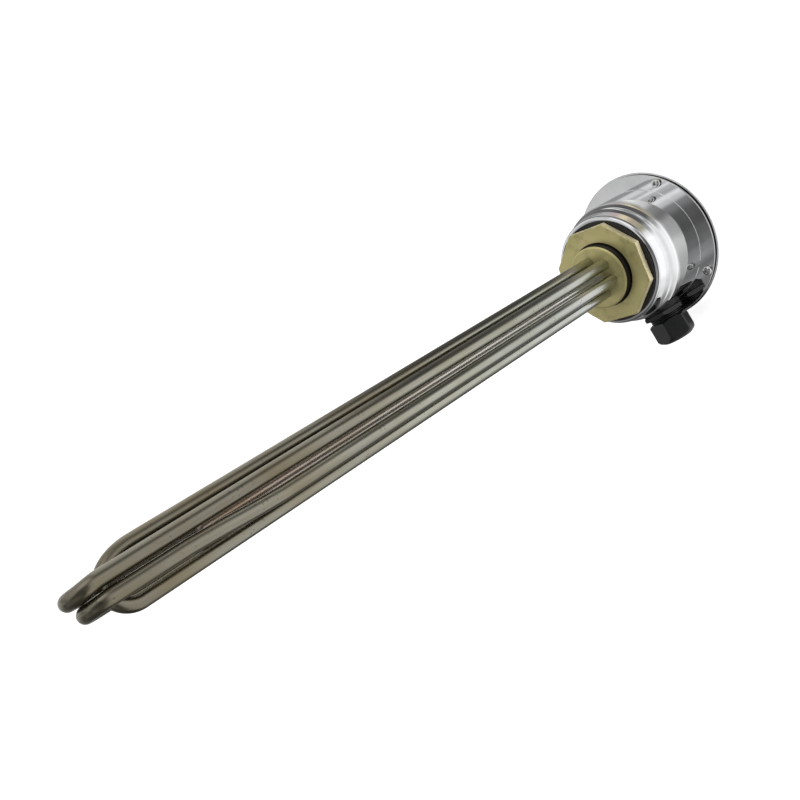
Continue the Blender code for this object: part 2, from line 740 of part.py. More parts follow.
def hex_nut(name, flats, bottom, top, bore, finish):
    """A hexagon nut with corners chamfered by a turned shape, and a plain bore."""
    nut = prism(name, 6, flats, bottom, top, finish)
    corner_radius = flats / 2 / math.cos(math.pi / 6)
    drop = (corner_radius - flats / 2) * 0.6
    chamfer = turned(
        f"{name}_chamfer",
        [
            corner(0.0, top + 0.1 * MM),
            corner(flats / 2, top + 0.1 * MM),
            corner(corner_radius + 0.1 * MM, top - drop),
            corner(corner_radius + 0.1 * MM, bottom + drop),
            corner(flats / 2, bottom - 0.1 * MM),
            corner(0.0, bottom - 0.1 * MM),
        ],
        finish,
        STEPS_FINE,
        closed=False,
    )
    keep_common(nut, chamfer)
    cut(nut, hole(f"{name}_bore", bore, bottom - 1 * MM, top + 1 * MM, STEPS_FINE))
    return nut


def link_outline(spacing):
    """The outline of a link strip with round ends, centred on its middle."""
    points = []
    half = LINK_WIDTH / 2
    for side, first in ((1, -math.pi / 2), (-1, math.pi / 2)):
        for step in range(9):
            angle = first + math.pi * step / 8
            points.append((side * spacing / 2 + half * math.cos(angle), half * math.sin(angle)))
    return points


def circle_outline(x, radius, steps=STEPS_FINE):
    """The outline of a round hole."""
    turn = 2 * math.pi / steps
    return [(x + radius * math.cos(i * turn), radius * math.sin(i * turn)) for i in range(steps)]


def flat_piece(name, outlines, thickness, finish):
    """A flat plate from closed 2D outlines, the first outside and the rest holes."""
    curve = bpy.data.curves.new(name, "CURVE")
    curve.dimensions = "2D"
    curve.fill_mode = "BOTH"
    curve.extrude = thickness / 2
    for outline in outlines:
        spline = curve.splines.new("POLY")
        spline.points.add(len(outline) - 1)
        for point, (x, y) in zip(spline.points, outline):
            point.co = (x, y, 0.0, 1.0)
        spline.use_cyclic_u = True
    return add_part(name, curve, finish)


def build_terminals():
    """Insulators, studs, links and nuts on the six cold ends."""
    places = [polar(ELEMENT_CIRCLE, angle) for angle in leg_angles()]
    neck = TUBE_RADIUS - SOCKET_WALL - SEAT_GAP
    bore = STUD_RADIUS + SEAT_GAP
    neck_top = TUBE_END + SOCKET_DEPTH - SEAT_GAP
    bush = turned(
        "insulator",
        [
            corner(bore, neck_top),
            corner(neck, neck_top),
            corner(neck, TUBE_END - SEAT_GAP),
            corner(TUBE_RADIUS, TUBE_END - SEAT_GAP),
            corner(TUBE_RADIUS, BUSH_BOTTOM, 0.5 * MM, 1),
            corner(bore, BUSH_BOTTOM),
        ],
        CERAMIC,
        STEPS_FINE,
    )
    copies_of(frozen(bush), "insulator", places)
    stud = turned(
        "stud",
        [
            corner(0.0, neck_top - 0.5 * MM),
            corner(STUD_RADIUS, neck_top - 0.5 * MM),
            corner(STUD_RADIUS, STUD_COLLAR_TOP),
            corner(STUD_COLLAR_RADIUS, STUD_COLLAR_TOP),
            corner(STUD_COLLAR_RADIUS, STUD_COLLAR_TOP - STUD_COLLAR_HEIGHT),
            corner(STUD_RADIUS, STUD_COLLAR_TOP - STUD_COLLAR_HEIGHT),
            corner(STUD_RADIUS, LINK_BOTTOM - STUD_TAIL, 0.5 * MM, 1),
            corner(0.0, LINK_BOTTOM - STUD_TAIL),
        ],
        STEEL,
        STEPS_FINE,
        closed=False,
    )
    copies_of(frozen(stud), "stud", places)
    nut_top = LINK_BOTTOM - SEAT_GAP
    nut = hex_nut("stud_nut", STUD_NUT_FLATS, nut_top - STUD_NUT_HEIGHT, nut_top, bore, STEEL)
    copies_of(frozen(nut), "stud_nut", places)
    for number, legs in enumerate(LINKED_LEGS, 1):
        start, end = (polar(ELEMENT_CIRCLE, math.radians(a)) for a in legs)
        spacing = (end - start).length
        outlines = [link_outline(spacing)]
        outlines += [circle_outline(x, bore) for x in (spacing / 2, -spacing / 2)]
        link = flat_piece(f"link_{number}", outlines, LINK_THICKNESS, BRIGHT_BRASS)
        link.location = (start + end) / 2 + Vector((0.0, 0.0, (LINK_TOP + LINK_BOTTOM) / 2))
        link.rotation_euler.z = math.atan2(end.y - start.y, end.x - start.x)


def build_earth():
    """The earth stud under the housing's flat end, with its washer and nut."""
    top = HOUSING_CEILING - SEAT_GAP
    place = polar(EARTH_CIRCLE, math.pi / 2)
    stud = turned(
        "earth_stud",
        [
            corner(0.0, top),
            corner(EARTH_BASE_RADIUS, top),
            corner(EARTH_BASE_RADIUS, top - EARTH_BASE_HEIGHT),
            corner(EARTH_RADIUS, top - EARTH_BASE_HEIGHT),
            corner(EARTH_RADIUS, top - EARTH_LENGTH, 0.5 * MM, 2),
            corner(0.0, top - EARTH_LENGTH),
        ],
        STEEL,
        closed=False,
    )
    stud.location = place
    washer_top = top - EARTH_BASE_HEIGHT - SEAT_GAP
    washer_bottom = washer_top - EARTH_WASHER_HEIGHT
    washer = ring(
        "earth_washer", EARTH_RADIUS + SEAT_GAP, EARTH_WASHER_RADIUS, washer_bottom, washer_top, STEEL
    )
    washer.location = place
    nut_top = washer_bottom - SEAT_GAP
    nut = hex_nut(
        "earth_nut", EARTH_NUT_FLATS, nut_top - EARTH_NUT_HEIGHT, nut_top, EARTH_RADIUS + SEAT_GAP, STEEL
    )
    nut.location = place
    for modifier in nut.modifiers:
        modifier.object.location = place


def build_thermostat():
    """A stem thermostat: its stem in the pocket, its case between the terminals and the lid."""
    stem_radius = POCKET_RADIUS - POCKET_WALL - SEAT_GAP
    stem_top = POCKET_END + STEM_IN_POCKET
    rod("thermostat_stem", stem_radius, CASE_TOP + SEAT_GAP, stem_top, BRIGHT_BRASS, 16, 1 * MM)
    mesh = bpy.data.meshes.new("thermostat_case")
    work = bmesh.new()
    bmesh.ops.create_cube(work, size=1.0)
    bmesh.ops.scale(work, vec=(CASE_WIDTH, CASE_LENGTH, CASE_HEIGHT), verts=work.verts)
    work.to_mesh(mesh)
    work.free()
    case = add_part("thermostat_case", mesh, CASE_PLASTIC)
    case.location.z = (CASE_TOP + CASE_BOTTOM) / 2
    bevel = case.modifiers.new("Edges", "BEVEL")
    bevel.width = CASE_EDGE
    bevel.segments = 3
    collar = ring(
        "case_collar",
        stem_radius + SEAT_GAP,
        CASE_COLLAR_RADIUS,
        CASE_TOP - 1 * MM,
        CASE_TOP + CASE_COLLAR_HEIGHT,
        CASE_PLASTIC,
        24,
    )
    join(case, collar)
    for number, side in enumerate((1, -1), 1):
        screw = rod(
            f"thermostat_screw_{number}",
            CASE_SCREW_RADIUS,
            CASE_TOP + SEAT_GAP,
            CASE_TOP + SEAT_GAP + CASE_SCREW_HEIGHT,
            STEEL,
            STEPS_FINE,
            0.4 * MM,
        )
        screw.location = (0.0, side * CASE_SCREW_OFFSET, 0.0)
    dial_top = CASE_BOTTOM - SEAT_GAP
    dial = rod("thermostat_dial", DIAL_RADIUS, dial_top - DIAL_HEIGHT, dial_top, CASE_PLASTIC, 16, 0.4 * MM)
    slot = prism("dial_slot", 4, 2 * DIAL_RADIUS - 3 * MM, -DIAL_SLOT_DEPTH, DIAL_SLOT_DEPTH, CASE_PLASTIC)
    slot.scale.y = DIAL_SLOT_WIDTH / (2 * DIAL_RADIUS - 3 * MM)
    slot.location.z = dial_top - DIAL_HEIGHT
    cut(dial, slot)


def along_gland(obj):
    """Lays a piece that was built along +Z from the heater's axis on the gland's axis, pointing to +X."""
    obj.rotation_euler.y = math.pi / 2
    obj.location.z = GLAND_LEVEL
    return obj


def build_gland_seal():
    """The rubber washer between the round wall and the gland's hexagon."""
    seal = ring(
        "gland_seal",
        GLAND_THREAD_RADIUS + SEAT_GAP,
        GLAND_SEAL_RADIUS,
        BODY_RADIUS - 4 * MM,
        GLAND_SEAL_TOP,
        RUBBER,
        24,
    )
    wall = rod(
        "gland_seal_seat",
        BODY_RADIUS + SEAT_GAP,
        GLAND_LEVEL - 2 * GLAND_SEAL_RADIUS,
        GLAND_LEVEL + 2 * GLAND_SEAL_RADIUS,
        RUBBER,
        STEPS_LARGE,
    )
    cut(along_gland(seal), wall)


def build_gland_body():
    """The gland's body: a hexagon with a threaded neck outside and a threaded tail through the wall."""
    hex_top = GLAND_HEX_START + GLAND_HEX_HEIGHT
    body = along_gland(
        prism("gland_body", 6, GLAND_HEX_FLATS, GLAND_HEX_START, hex_top, GLAND_PLASTIC, 0.6 * MM)
    )
    thread = rod(
        "gland_thread",
        GLAND_THREAD_RADIUS,
        GLAND_HEX_START - GLAND_TAIL,
        hex_top + GLAND_NECK,
        GLAND_PLASTIC,
        24,
        0.5 * MM,
    )
    join(body, along_gland(thread))
    bore = hole(
        "gland_bore", GLAND_BORE_RADIUS, GLAND_HEX_START - GLAND_TAIL - 1 * MM, hex_top + GLAND_NECK + 1 * MM
    )
    cut(body, along_gland(bore))


def build_gland_nut():
    """The domed cap nut and the rubber insert that it presses on a cable."""
    hex_top = GLAND_HEX_START + GLAND_HEX_HEIGHT
    bottom = hex_top + GLAND_NUT_STANDOFF
    top = bottom + GLAND_NUT_HEIGHT
    neck_end = hex_top + GLAND_NECK
    insert_bottom = neck_end + SEAT_GAP
    insert_top = insert_bottom + INSERT_HEIGHT
    corner_radius = GLAND_NUT_FLATS / 2 / math.cos(math.pi / 6)
    nut = along_gland(
        prism("gland_nut", 6, GLAND_NUT_FLATS, bottom, top, GLAND_PLASTIC, turned_by=GLAND_NUT_TURN)
    )
    dome = turned(
        "gland_dome",
        [
            corner(0.0, top - 0.05 * MM),
            corner(GLAND_MOUTH_RADIUS + GLAND_MOUTH_LAND, top - 0.05 * MM),
            corner(corner_radius, top - GLAND_DOME_DROP, GLAND_DOME_RADIUS, 4),
            corner(corner_radius + 0.2 * MM, bottom + 0.8 * MM),
            corner(GLAND_NUT_FLATS / 2, bottom - 0.2 * MM),
            corner(0.0, bottom - 0.2 * MM),
        ],
        GLAND_PLASTIC,
        24,
        closed=False,
    )
    keep_common(nut, along_gland(dome))
    hollow = turned(
        "gland_nut_hollow",
        [
            corner(0.0, top + 1 * MM),
            corner(GLAND_MOUTH_RADIUS, top + 1 * MM),
            corner(GLAND_MOUTH_RADIUS, insert_top + SEAT_GAP),
            corner(INSERT_RADIUS + SEAT_GAP, insert_top + SEAT_GAP),
            corner(INSERT_RADIUS + SEAT_GAP, insert_bottom),
            corner(GLAND_THREAD_RADIUS + SEAT_GAP, neck_end + 0.1 * MM),
            corner(GLAND_THREAD_RADIUS + SEAT_GAP, bottom - 1 * MM),
            corner(0.0, bottom - 1 * MM),
        ],
        GLAND_PLASTIC,
        24,
        closed=False,
    )
    cut(nut, along_gland(hollow))
    insert = ring(
        "gland_insert", INSERT_BORE_RADIUS, INSERT_RADIUS, insert_bottom, insert_top, RUBBER, 16, 0.6 * MM
    )
    along_gland(insert)


def build_lock_nut():
    """The nut that holds the gland from inside the round wall."""
    reach = LOCK_NUT_FLATS / 2 / math.cos(math.pi / 6)
    top = math.sqrt((BODY_INNER - SEAT_GAP) ** 2 - reach**2)
    nut = hex_nut(
        "gland_lock_nut",
        LOCK_NUT_FLATS,
        top - LOCK_NUT_HEIGHT,
        top,
        GLAND_THREAD_RADIUS + SEAT_GAP,
        GLAND_PLASTIC,
    )
    for modifier in along_gland(nut).modifiers:
        along_gland(modifier.object)


def main():
    build_hairpins()
    build_pocket()
    build_plug()
    build_plug_fixing()
    build_housing()
    build_lid()
    build_lid_screws()
    build_terminals()
    build_earth()
    build_thermostat()
    build_gland_seal()
    build_gland_body()
    build_gland_nut()
    build_lock_nut()


main()
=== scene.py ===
"""Looks of a screw-in immersion heater.

Three bent heating elements and a sensor pocket stand in an octagonal brass plug. The plug is clamped in a
polished terminal housing with a lid and a cable gland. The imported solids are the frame: the ones that show
are replaced by finer pieces of the same size, the hidden ones are dressed, and a plain studio is set up.
"""

import logging
import math
from dataclasses import dataclass, field
from enum import Enum
from typing import Sequence

import bmesh
import bpy
from mathutils import Matrix, Vector


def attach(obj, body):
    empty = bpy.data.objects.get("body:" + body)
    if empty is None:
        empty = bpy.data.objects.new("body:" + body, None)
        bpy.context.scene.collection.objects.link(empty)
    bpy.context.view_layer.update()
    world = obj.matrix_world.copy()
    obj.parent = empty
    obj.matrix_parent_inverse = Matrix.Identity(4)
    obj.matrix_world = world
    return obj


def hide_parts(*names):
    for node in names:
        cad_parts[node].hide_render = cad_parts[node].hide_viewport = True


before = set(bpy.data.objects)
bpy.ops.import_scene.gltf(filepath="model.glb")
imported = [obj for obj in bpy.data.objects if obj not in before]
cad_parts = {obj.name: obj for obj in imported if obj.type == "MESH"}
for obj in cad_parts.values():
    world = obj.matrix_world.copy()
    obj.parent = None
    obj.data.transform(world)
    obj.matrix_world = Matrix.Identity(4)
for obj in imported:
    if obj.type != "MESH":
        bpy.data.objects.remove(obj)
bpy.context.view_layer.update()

MM = 0.001
SHARP_FROM = math.radians(34)
WELD = 0.00002
BODY = "root"

Colour = tuple[float, float, float]
Socket = bpy.types.NodeSocket
Node = bpy.types.Node
Tree = bpy.types.NodeTree

report = logging.getLogger("immersion_heater")


class Trim(Enum):
    """The part of a shape that a Boolean keeps: what lies outside its tool, or inside it."""

    OUTSIDE = "DIFFERENCE"
    INSIDE = "INTERSECT"


class Along(Enum):
    """What the tones of a studio sheet change with."""

    DISTANCE = "distance"
    HEIGHT = "height"


# Shader helpers


class Bench:
    """Places shader nodes in one tree and joins them."""

    def __init__(self, tree: Tree) -> None:
        """Takes the tree to work in.

        Args:
            tree: The node tree of a material, a world or a group.
        """
        self.tree = tree

    def put(self, kind: str, sockets: dict[str | int, object] | None = None, **options: object) -> Node:
        """Adds a node, sets its options, and fills or links its inputs.

        Args:
            kind: The node's type name, for a shader node without its usual start.
            sockets: Values or output sockets, by input name or number.
            **options: Properties of the node itself.

        Returns:
            The new node.
        """
        node = self.tree.nodes.new(kind if kind.startswith("Node") else f"ShaderNode{kind}")
        for name, value in options.items():
            setattr(node, name, value)
        for name, value in (sockets or {}).items():
            self.feed(node.inputs[name], value)
        return node

    def feed(self, socket: Socket, value: object) -> None:
        """Links an output to a socket, or sets the socket's value.

        Args:
            socket: The input socket.
            value: An output socket, a number or a tuple.
        """
        if isinstance(value, Socket):
            self.tree.links.new(value, socket)
        else:
            socket.default_value = value

    def sum(self, operation: str, first: object, second: object = 0.0) -> Socket:
        """One step of arithmetic.

        Args:
            operation: The Math node's operation.
            first: The first value or socket.
            second: The second value or socket.

        Returns:
            The result's socket.
        """
        return self.put("Math", {0: first, 1: second}, operation=operation).outputs[0]

    def raised(self, value: object, amount: float, base: object) -> Socket:
        """A base with an amount of a value on top of it.

        Args:
            value: The value's socket.
            amount: How much of it is added.
            base: The base's value or socket.

        Returns:
            The result's socket.
        """
        sockets = {0: value, 1: amount, 2: base}
        return self.put("Math", sockets, operation="MULTIPLY_ADD").outputs[0]

    def blend(self, share: object, first: object, second: object, how: str = "MIX") -> Socket:
        """Mixes two colours.

        Args:
            share: How much of the second colour shows.
            first: The first colour or socket.
            second: The second colour or socket.
            how: The Mix node's way of blending.

        Returns:
            The mixed colour's socket.
        """
        node = self.put("Mix", data_type="RGBA", blend_type=how)
        for number, value in ((0, share), (6, first), (7, second)):
            self.feed(node.inputs[number], opaque(value))
        return node.outputs[2]

    def span(
        self, value: object, low: float, high: float, start: object = 0.0, end: object = 1.0
    ) -> Socket:
        """Maps a range of values onto another, held at its ends.

        Args:
            value: The value's socket.
            low: Where the range starts.
            high: Where it ends.
            start: The result at its start.
            end: The result at its end.

        Returns:
            The mapped value's socket.
        """
        node = self.put("MapRange", {0: value, 1: low, 2: high, 3: start, 4: end})
        return node.outputs[0]

    def ramp(self, value: object, stops: Sequence[tuple[float, Colour]], smooth: bool = True) -> Socket:
        """A colour scale.

        Args:
            value: The socket that runs over the scale.
            stops: Places from 0 to 1, each with its colour.
            smooth: Whether the colours run into each other softly.

        Returns:
            The colour's socket.
        """
        node = self.put("ValToRGB", {0: value})
        node.color_ramp.interpolation = "EASE" if smooth else "LINEAR"
        elements = node.color_ramp.elements
        for place, _ in stops[1:-1]:
            elements.new(place)
        elements[0].position, elements[-1].position = stops[0][0], stops[-1][0]
        for element, (_, colour) in zip(elements, stops):
            element.color = opaque(colour)
        return node.outputs[0]

    def noise(self, vector: object, scale: object, detail: float = 3.0, roughness: float = 0.55) -> Socket:
        """Plain three-dimensional noise.

        Args:
            vector: The place's socket.
            scale: Cells a metre.
            detail: How many finer layers there are.
            roughness: How strong those layers are.

        Returns:
            The noise value's socket, about 0.5 on average.
        """
        sockets = {"Vector": vector, "Scale": scale, "Detail": detail, "Roughness": roughness}
        return self.put("TexNoise", sockets).outputs[0]

    def place(self) -> Socket:
        """The socket of the object's own coordinates."""
        return self.put("TexCoord").outputs["Object"]

    def group(self, tree: Tree, **sockets: object) -> Node:
        """Places a shared effect with its own values.

        Args:
            tree: The effect's node group.
            **sockets: Values or sockets for its inputs.

        Returns:
            The group node.
        """
        node = self.put("Group", node_tree=tree)
        for name, value in sockets.items():
            self.feed(node.inputs[name], value)
        return node

    def mask(self, tree: Tree, vector: object, **values: float) -> Socket:
        """Places a shared effect and takes its mask.

        Args:
            tree: The effect's node group.
            vector: The place's socket.
            **values: Its other inputs.

        Returns:
            The mask's socket.
        """
        return self.group(tree, Vector=vector, **values).outputs["Mask"]


def opaque(value: object) -> object:
    """A colour of three numbers as one of four, and anything else as it is."""
    return (*value, 1.0) if isinstance(value, tuple) and len(value) == 3 else value


def new_effect(
    name: str, values: dict[str, float], outputs: Sequence[str]
) -> tuple[Bench, bpy.types.NodeOutputs, bpy.types.NodeInputs]:
    """Starts a node group for an effect that several finishes use. Its first input is Vector.

    Args:
        name: The effect's name.
        values: The other inputs, each with its plain value.
        outputs: Names of the outputs, all single values.

    Returns:
        A bench for the group, the sockets that it is given, and the sockets that it fills.
    """
    tree = bpy.data.node_groups.new(name, "ShaderNodeTree")
    tree.interface.new_socket("Vector", in_out="INPUT", socket_type="NodeSocketVector")
    for label, plain in values.items():
        socket = tree.interface.new_socket(label, in_out="INPUT", socket_type="NodeSocketFloat")
        socket.default_value = plain
    for label in outputs:
        tree.interface.new_socket(label, in_out="OUTPUT", socket_type="NodeSocketFloat")
    bench = Bench(tree)
    return bench, bench.put("NodeGroupInput").outputs, bench.put("NodeGroupOutput").inputs


@dataclass
class Effects:
    """The surface effects that the finishes share."""

    turned: Tree = field(init=False)
    drawn: Tree = field(init=False)
    clouds: Tree = field(init=False)
    specks: Tree = field(init=False)
    hairlines: Tree = field(init=False)

    def __post_init__(self) -> None:
        """Builds each node group once."""
        self.turned = self.build_turned()
        self.drawn = self.build_drawn()
        self.clouds = self.build_clouds()
        self.specks = self.build_specks()
        self.hairlines = self.build_hairlines()

    def build_turned(self) -> Tree:
        """Fine rings round Z, as a lathe or a polishing wheel leaves them.

        Returns:
            A group from Vector, Lines and Waver to Height and Bands.
        """
        values = {"Lines": 3000.0, "Waver": 1.5}
        bench, given, filled = new_effect("turned_marks", values, ["Height", "Bands"])
        vector = given["Vector"]
        flat = bench.put("VectorMath", {0: vector, 1: (1.0, 1.0, 0.0)}, operation="MULTIPLY").outputs[0]
        radius = bench.put("VectorMath", {0: flat}, operation="LENGTH").outputs["Value"]
        heading = bench.put("VectorMath", {0: flat}, operation="NORMALIZE").outputs[0]
        level = bench.put("SeparateXYZ", {0: vector}).outputs["Z"]
        waver = bench.put("VectorMath", {0: heading, "Scale": given["Waver"]}, operation="SCALE").outputs[0]
        for name, share, detail in (("Height", 1.0, 3.0), ("Bands", 0.06, 2.0)):
            lines = bench.sum("MULTIPLY", given["Lines"], share)
            lift = bench.put("CombineXYZ", {"Z": bench.sum("MULTIPLY", level, lines)}).outputs[0]
            seat = bench.put("VectorMath", {0: waver, 1: lift}, operation="ADD").outputs[0]
            rings = bench.put(
                "TexNoise",
                {"Vector": seat, "W": bench.sum("MULTIPLY", radius, lines), "Scale": 1.0, "Detail": detail},
                noise_dimensions="4D",
            )
            bench.feed(filled[name], rings.outputs[0])
        return bench.tree

    def build_drawn(self) -> Tree:
        """Long fine streaks along a drawn tube.

        Returns:
            A group from Vector, Lines and Stretch to Height and Streaks.
        """
        values = {"Lines": 1500.0, "Stretch": 0.02}
        bench, given, filled = new_effect("drawn_marks", values, ["Height", "Streaks"])
        scale = bench.put("CombineXYZ", {"X": 1.0, "Y": 1.0, "Z": given["Stretch"]})
        drawn = bench.put(
            "VectorMath", {0: given["Vector"], 1: scale.outputs[0]}, operation="MULTIPLY"
        ).outputs[0]
        lines = given["Lines"]
        bench.feed(filled["Height"], bench.noise(drawn, lines, 4.0, 0.6))
        bench.feed(filled["Streaks"], bench.noise(drawn, bench.sum("MULTIPLY", lines, 0.28), 3.0))
        return bench.tree

    def build_clouds(self) -> Tree:
        """Soft uneven patches, such as handling leaves on metal.

        Returns:
            A group from Vector, Scale, Low and High to Mask.
        """
        bench, given, filled = new_effect("clouds", {"Scale": 60.0, "Low": 0.4, "High": 0.65}, ["Mask"])
        base = bench.noise(given["Vector"], given["Scale"], 5.0, 0.6)
        mask = bench.span(base, given["Low"], given["High"])
        bench.feed(filled["Mask"], mask)
        return bench.tree

    def build_specks(self) -> Tree:
        """Small scattered spots.

        Returns:
            A group from Vector, Scale and Size to Mask.
        """
        bench, given, filled = new_effect("specks", {"Scale": 500.0, "Size": 0.2}, ["Mask"])
        cells = bench.put("TexVoronoi", {"Vector": given["Vector"], "Scale": given["Scale"]})
        spread = bench.noise(given["Vector"], bench.sum("MULTIPLY", given["Scale"], 0.13))
        reach = bench.sum("MULTIPLY", given["Size"], bench.span(spread, 0.45, 0.7))
        inside = bench.sum("SUBTRACT", reach, cells.outputs["Distance"])
        bench.feed(filled["Mask"], bench.span(inside, 0.0, 0.08))
        return bench.tree

    def build_hairlines(self) -> Tree:
        """A few fine scratches that cross in all directions.

        Returns:
            A group from Vector and Scale to Mask.
        """
        bench, given, filled = new_effect("hairlines", {"Scale": 90.0}, ["Mask"])
        total: object = 0.0
        for turn in ((0.3, 0.9, 0.2), (1.4, 0.1, 2.2), (2.3, 1.7, 0.8)):
            mapping = bench.put(
                "Mapping",
                {"Vector": given["Vector"], "Rotation": turn, "Scale": (1.0, 9.0, 9.0)},
            )
            line = bench.noise(mapping.outputs[0], given["Scale"], 1.0)
            ridge = bench.sum("ABSOLUTE", bench.sum("SUBTRACT", line, 0.5))
            total = bench.sum("MAXIMUM", total, bench.span(ridge, 0.0, 0.004, 1.0, 0.0))
        patches = bench.noise(given["Vector"], bench.sum("MULTIPLY", given["Scale"], 0.5))
        bench.feed(filled["Mask"], bench.sum("MULTIPLY", total, bench.span(patches, 0.5, 0.65)))
        return bench.tree


EFFECTS = Effects()


# Finishes


class Coat(Bench):
    """The bench of a finish's material, with the shader that its nodes end in."""

    def __init__(self, tree: Tree) -> None:
        """Takes the material's node tree, which has its shader already."""
        super().__init__(tree)
        self.shader = tree.nodes["Principled BSDF"]

    def lay(self, name: str, value: object) -> None:
        """Links an output to one of the shader's sockets, or sets the socket's value."""
        self.feed(self.shader.inputs[name], value)

    def laid(self, name: str) -> Socket:
        """The output that is linked to one of the shader's sockets."""
        return self.shader.inputs[name].links[0].from_socket

    def lift(self, height: object, depth: float) -> None:
        """Gives the surface a fine relief.

        Args:
            height: The height's socket.
            depth: Depth of the relief in metres.
        """
        bump = self.put("Bump", {"Height": height, "Distance": depth, "Strength": 1.0})
        self.lay("Normal", bump.outputs[0])


@dataclass(frozen=True)
class Finish:
    """A surface finish, named for the record's material slot."""

    slot: str
    colour: Colour
    roughness: float
    metallic: float = 0.0

    def material(self) -> bpy.types.Material:
        """The finish as a material, made at its first use.

        Returns:
            The material.
        """
        name = f"look_{self.slot}"
        made = bpy.data.materials.get(name)
        if made is None:
            made = bpy.data.materials.new(name)
            made.use_nodes = True
            coat = Coat(made.node_tree)
            coat.lay("Metallic", self.metallic)
            self.paint(coat)
        return made

    def paint(self, coat: Coat) -> None:
        """Joins the finish's nodes to the shader. Each finish has its own.

        Args:
            coat: The bench and the shader.
        """
        raise NotImplementedError


@dataclass(frozen=True)
class PolishedSteel(Finish):
    """Spun stainless sheet, wheel polished, with faint rings, smears and hairlines."""

    rings: float = 2600.0
    smear: float = 0.05

    def paint(self, coat: Coat) -> None:
        """Polish rings and smears vary the gloss; hairlines and rings give the relief.

        Args:
            coat: The bench and the shader.
        """
        place = coat.place()
        rings = coat.group(EFFECTS.turned, Vector=place, Lines=self.rings, Waver=2.0)
        smears = coat.mask(EFFECTS.clouds, place, Scale=34.0, Low=0.45, High=0.72)
        scratches = coat.mask(EFFECTS.hairlines, place, Scale=60.0)
        dull = coat.raised(smears, self.smear, self.roughness)
        lined = coat.raised(coat.span(rings.outputs["Bands"], 0.35, 0.7), 0.02, dull)
        coat.lay("Roughness", coat.sum("MAXIMUM", lined, 0.02))
        darker = tuple(part * 0.86 for part in self.colour)
        tint = coat.blend(smears, self.colour, darker)
        worn = coat.blend(coat.sum("MULTIPLY", scratches, 0.35), tint, (0.86, 0.87, 0.88))
        coat.lay("Base Color", worn)
        height = coat.sum("SUBTRACT", rings.outputs["Height"], coat.sum("MULTIPLY", scratches, 0.8))
        coat.lift(height, 0.0000006)


@dataclass(frozen=True)
class HeatedSheath(Finish):
    """Drawn tube that heat has tinted: silver by the plug, and its own colour towards the bends."""

    cool_end: float = 0.08
    hot_end: float = 0.50
    cool_side: float = 0.004
    hot_side: float = -0.016
    side_heat: float = 0.14
    stops: tuple[tuple[float, Colour], ...] = (
        (0.0, (0.60, 0.61, 0.58)),
        (0.25, (0.54, 0.55, 0.51)),
        (0.5, (0.44, 0.44, 0.38)),
        (0.78, (0.34, 0.325, 0.27)),
    )

    def paint(self, coat: Coat) -> None:
        """A heat scale along the heater, broken up by clouds, streaks and dark specks.

        Args:
            coat: The bench and the shader.
        """
        place = coat.place()
        flow = coat.put("Attribute", attribute_name="flow").outputs["Vector"]
        marks = coat.group(EFFECTS.drawn, Vector=flow, Lines=1500.0, Stretch=0.02)
        bands = coat.put("Mapping", {"Vector": flow, "Scale": (0.6, 0.6, 0.22)}).outputs[0]
        patches = coat.mask(EFFECTS.clouds, bands, Scale=90.0, Low=0.38, High=0.66)
        drift = coat.span(coat.noise(place, 14.0, 4.0), 0.2, 0.8, -0.035, 0.035)
        parts = coat.put("SeparateXYZ", {0: place}).outputs
        level = coat.sum("ADD", parts["Z"], drift)
        sideways = coat.span(parts["X"], self.cool_side, self.hot_side, 0.0, self.side_heat)
        heat = coat.span(coat.sum("ADD", level, sideways), self.cool_end, self.hot_end)
        scale = coat.ramp(heat, (*self.stops, (1.0, self.colour)), smooth=False)
        olive = coat.blend(coat.sum("MULTIPLY", heat, 0.5), (0.85, 0.87, 0.85), (1.0, 0.82, 0.52))
        toned = coat.blend(patches, scale, olive, "MULTIPLY")
        streaks = coat.span(marks.outputs["Streaks"], 0.35, 0.68, 0.0, 0.5)
        dark = coat.blend(streaks, toned, (0.62, 0.62, 0.6), "MULTIPLY")
        spots = coat.mask(EFFECTS.specks, flow, Scale=420.0, Size=0.42)
        spotted = coat.blend(coat.sum("MULTIPLY", spots, 0.35), dark, (0.05, 0.045, 0.035))
        coat.lay("Base Color", spotted)
        gloss = coat.span(heat, 0.0, 1.0, self.roughness - 0.04, self.roughness + 0.05)
        coat.lay("Roughness", coat.raised(patches, 0.1, gloss))
        coat.lift(coat.raised(spots, 0.6, marks.outputs["Height"]), 0.000006)


@dataclass(frozen=True)
class MachinedBrass(Finish):
    """Turned and milled brass that has dulled, with stains and lathe rings."""

    rings: float = 1500.0
    stain: Colour = (0.2, 0.165, 0.07)

    def paint(self, coat: Coat) -> None:
        """Lathe rings for the relief, and dull clouds and stains in the colour.

        Args:
            coat: The bench and the shader.
        """
        place = coat.place()
        rings = coat.group(EFFECTS.turned, Vector=place, Lines=self.rings, Waver=0.8)
        dulled = coat.mask(EFFECTS.clouds, place, Scale=42.0, Low=0.35, High=0.7)
        stains = coat.mask(EFFECTS.clouds, place, Scale=120.0, Low=0.52, High=0.72)
        scratches = coat.mask(EFFECTS.hairlines, place, Scale=75.0)
        greener = (self.colour[0] * 0.84, self.colour[1] * 0.9, self.colour[2] * 0.8)
        tone = coat.blend(dulled, self.colour, greener)
        stained = coat.blend(coat.sum("MULTIPLY", stains, 0.4), tone, self.stain)
        ringed = coat.blend(coat.span(rings.outputs["Bands"], 0.4, 0.7, 0.0, 0.22), stained, self.stain)
        bright = tuple(min(part * 1.6, 0.9) for part in self.colour)
        worn = coat.blend(coat.sum("MULTIPLY", scratches, 0.4), ringed, bright)
        coat.lay("Base Color", worn)
        coat.lay("Roughness", coat.raised(dulled, 0.14, self.roughness))
        coat.lift(rings.outputs["Height"], 0.000008)


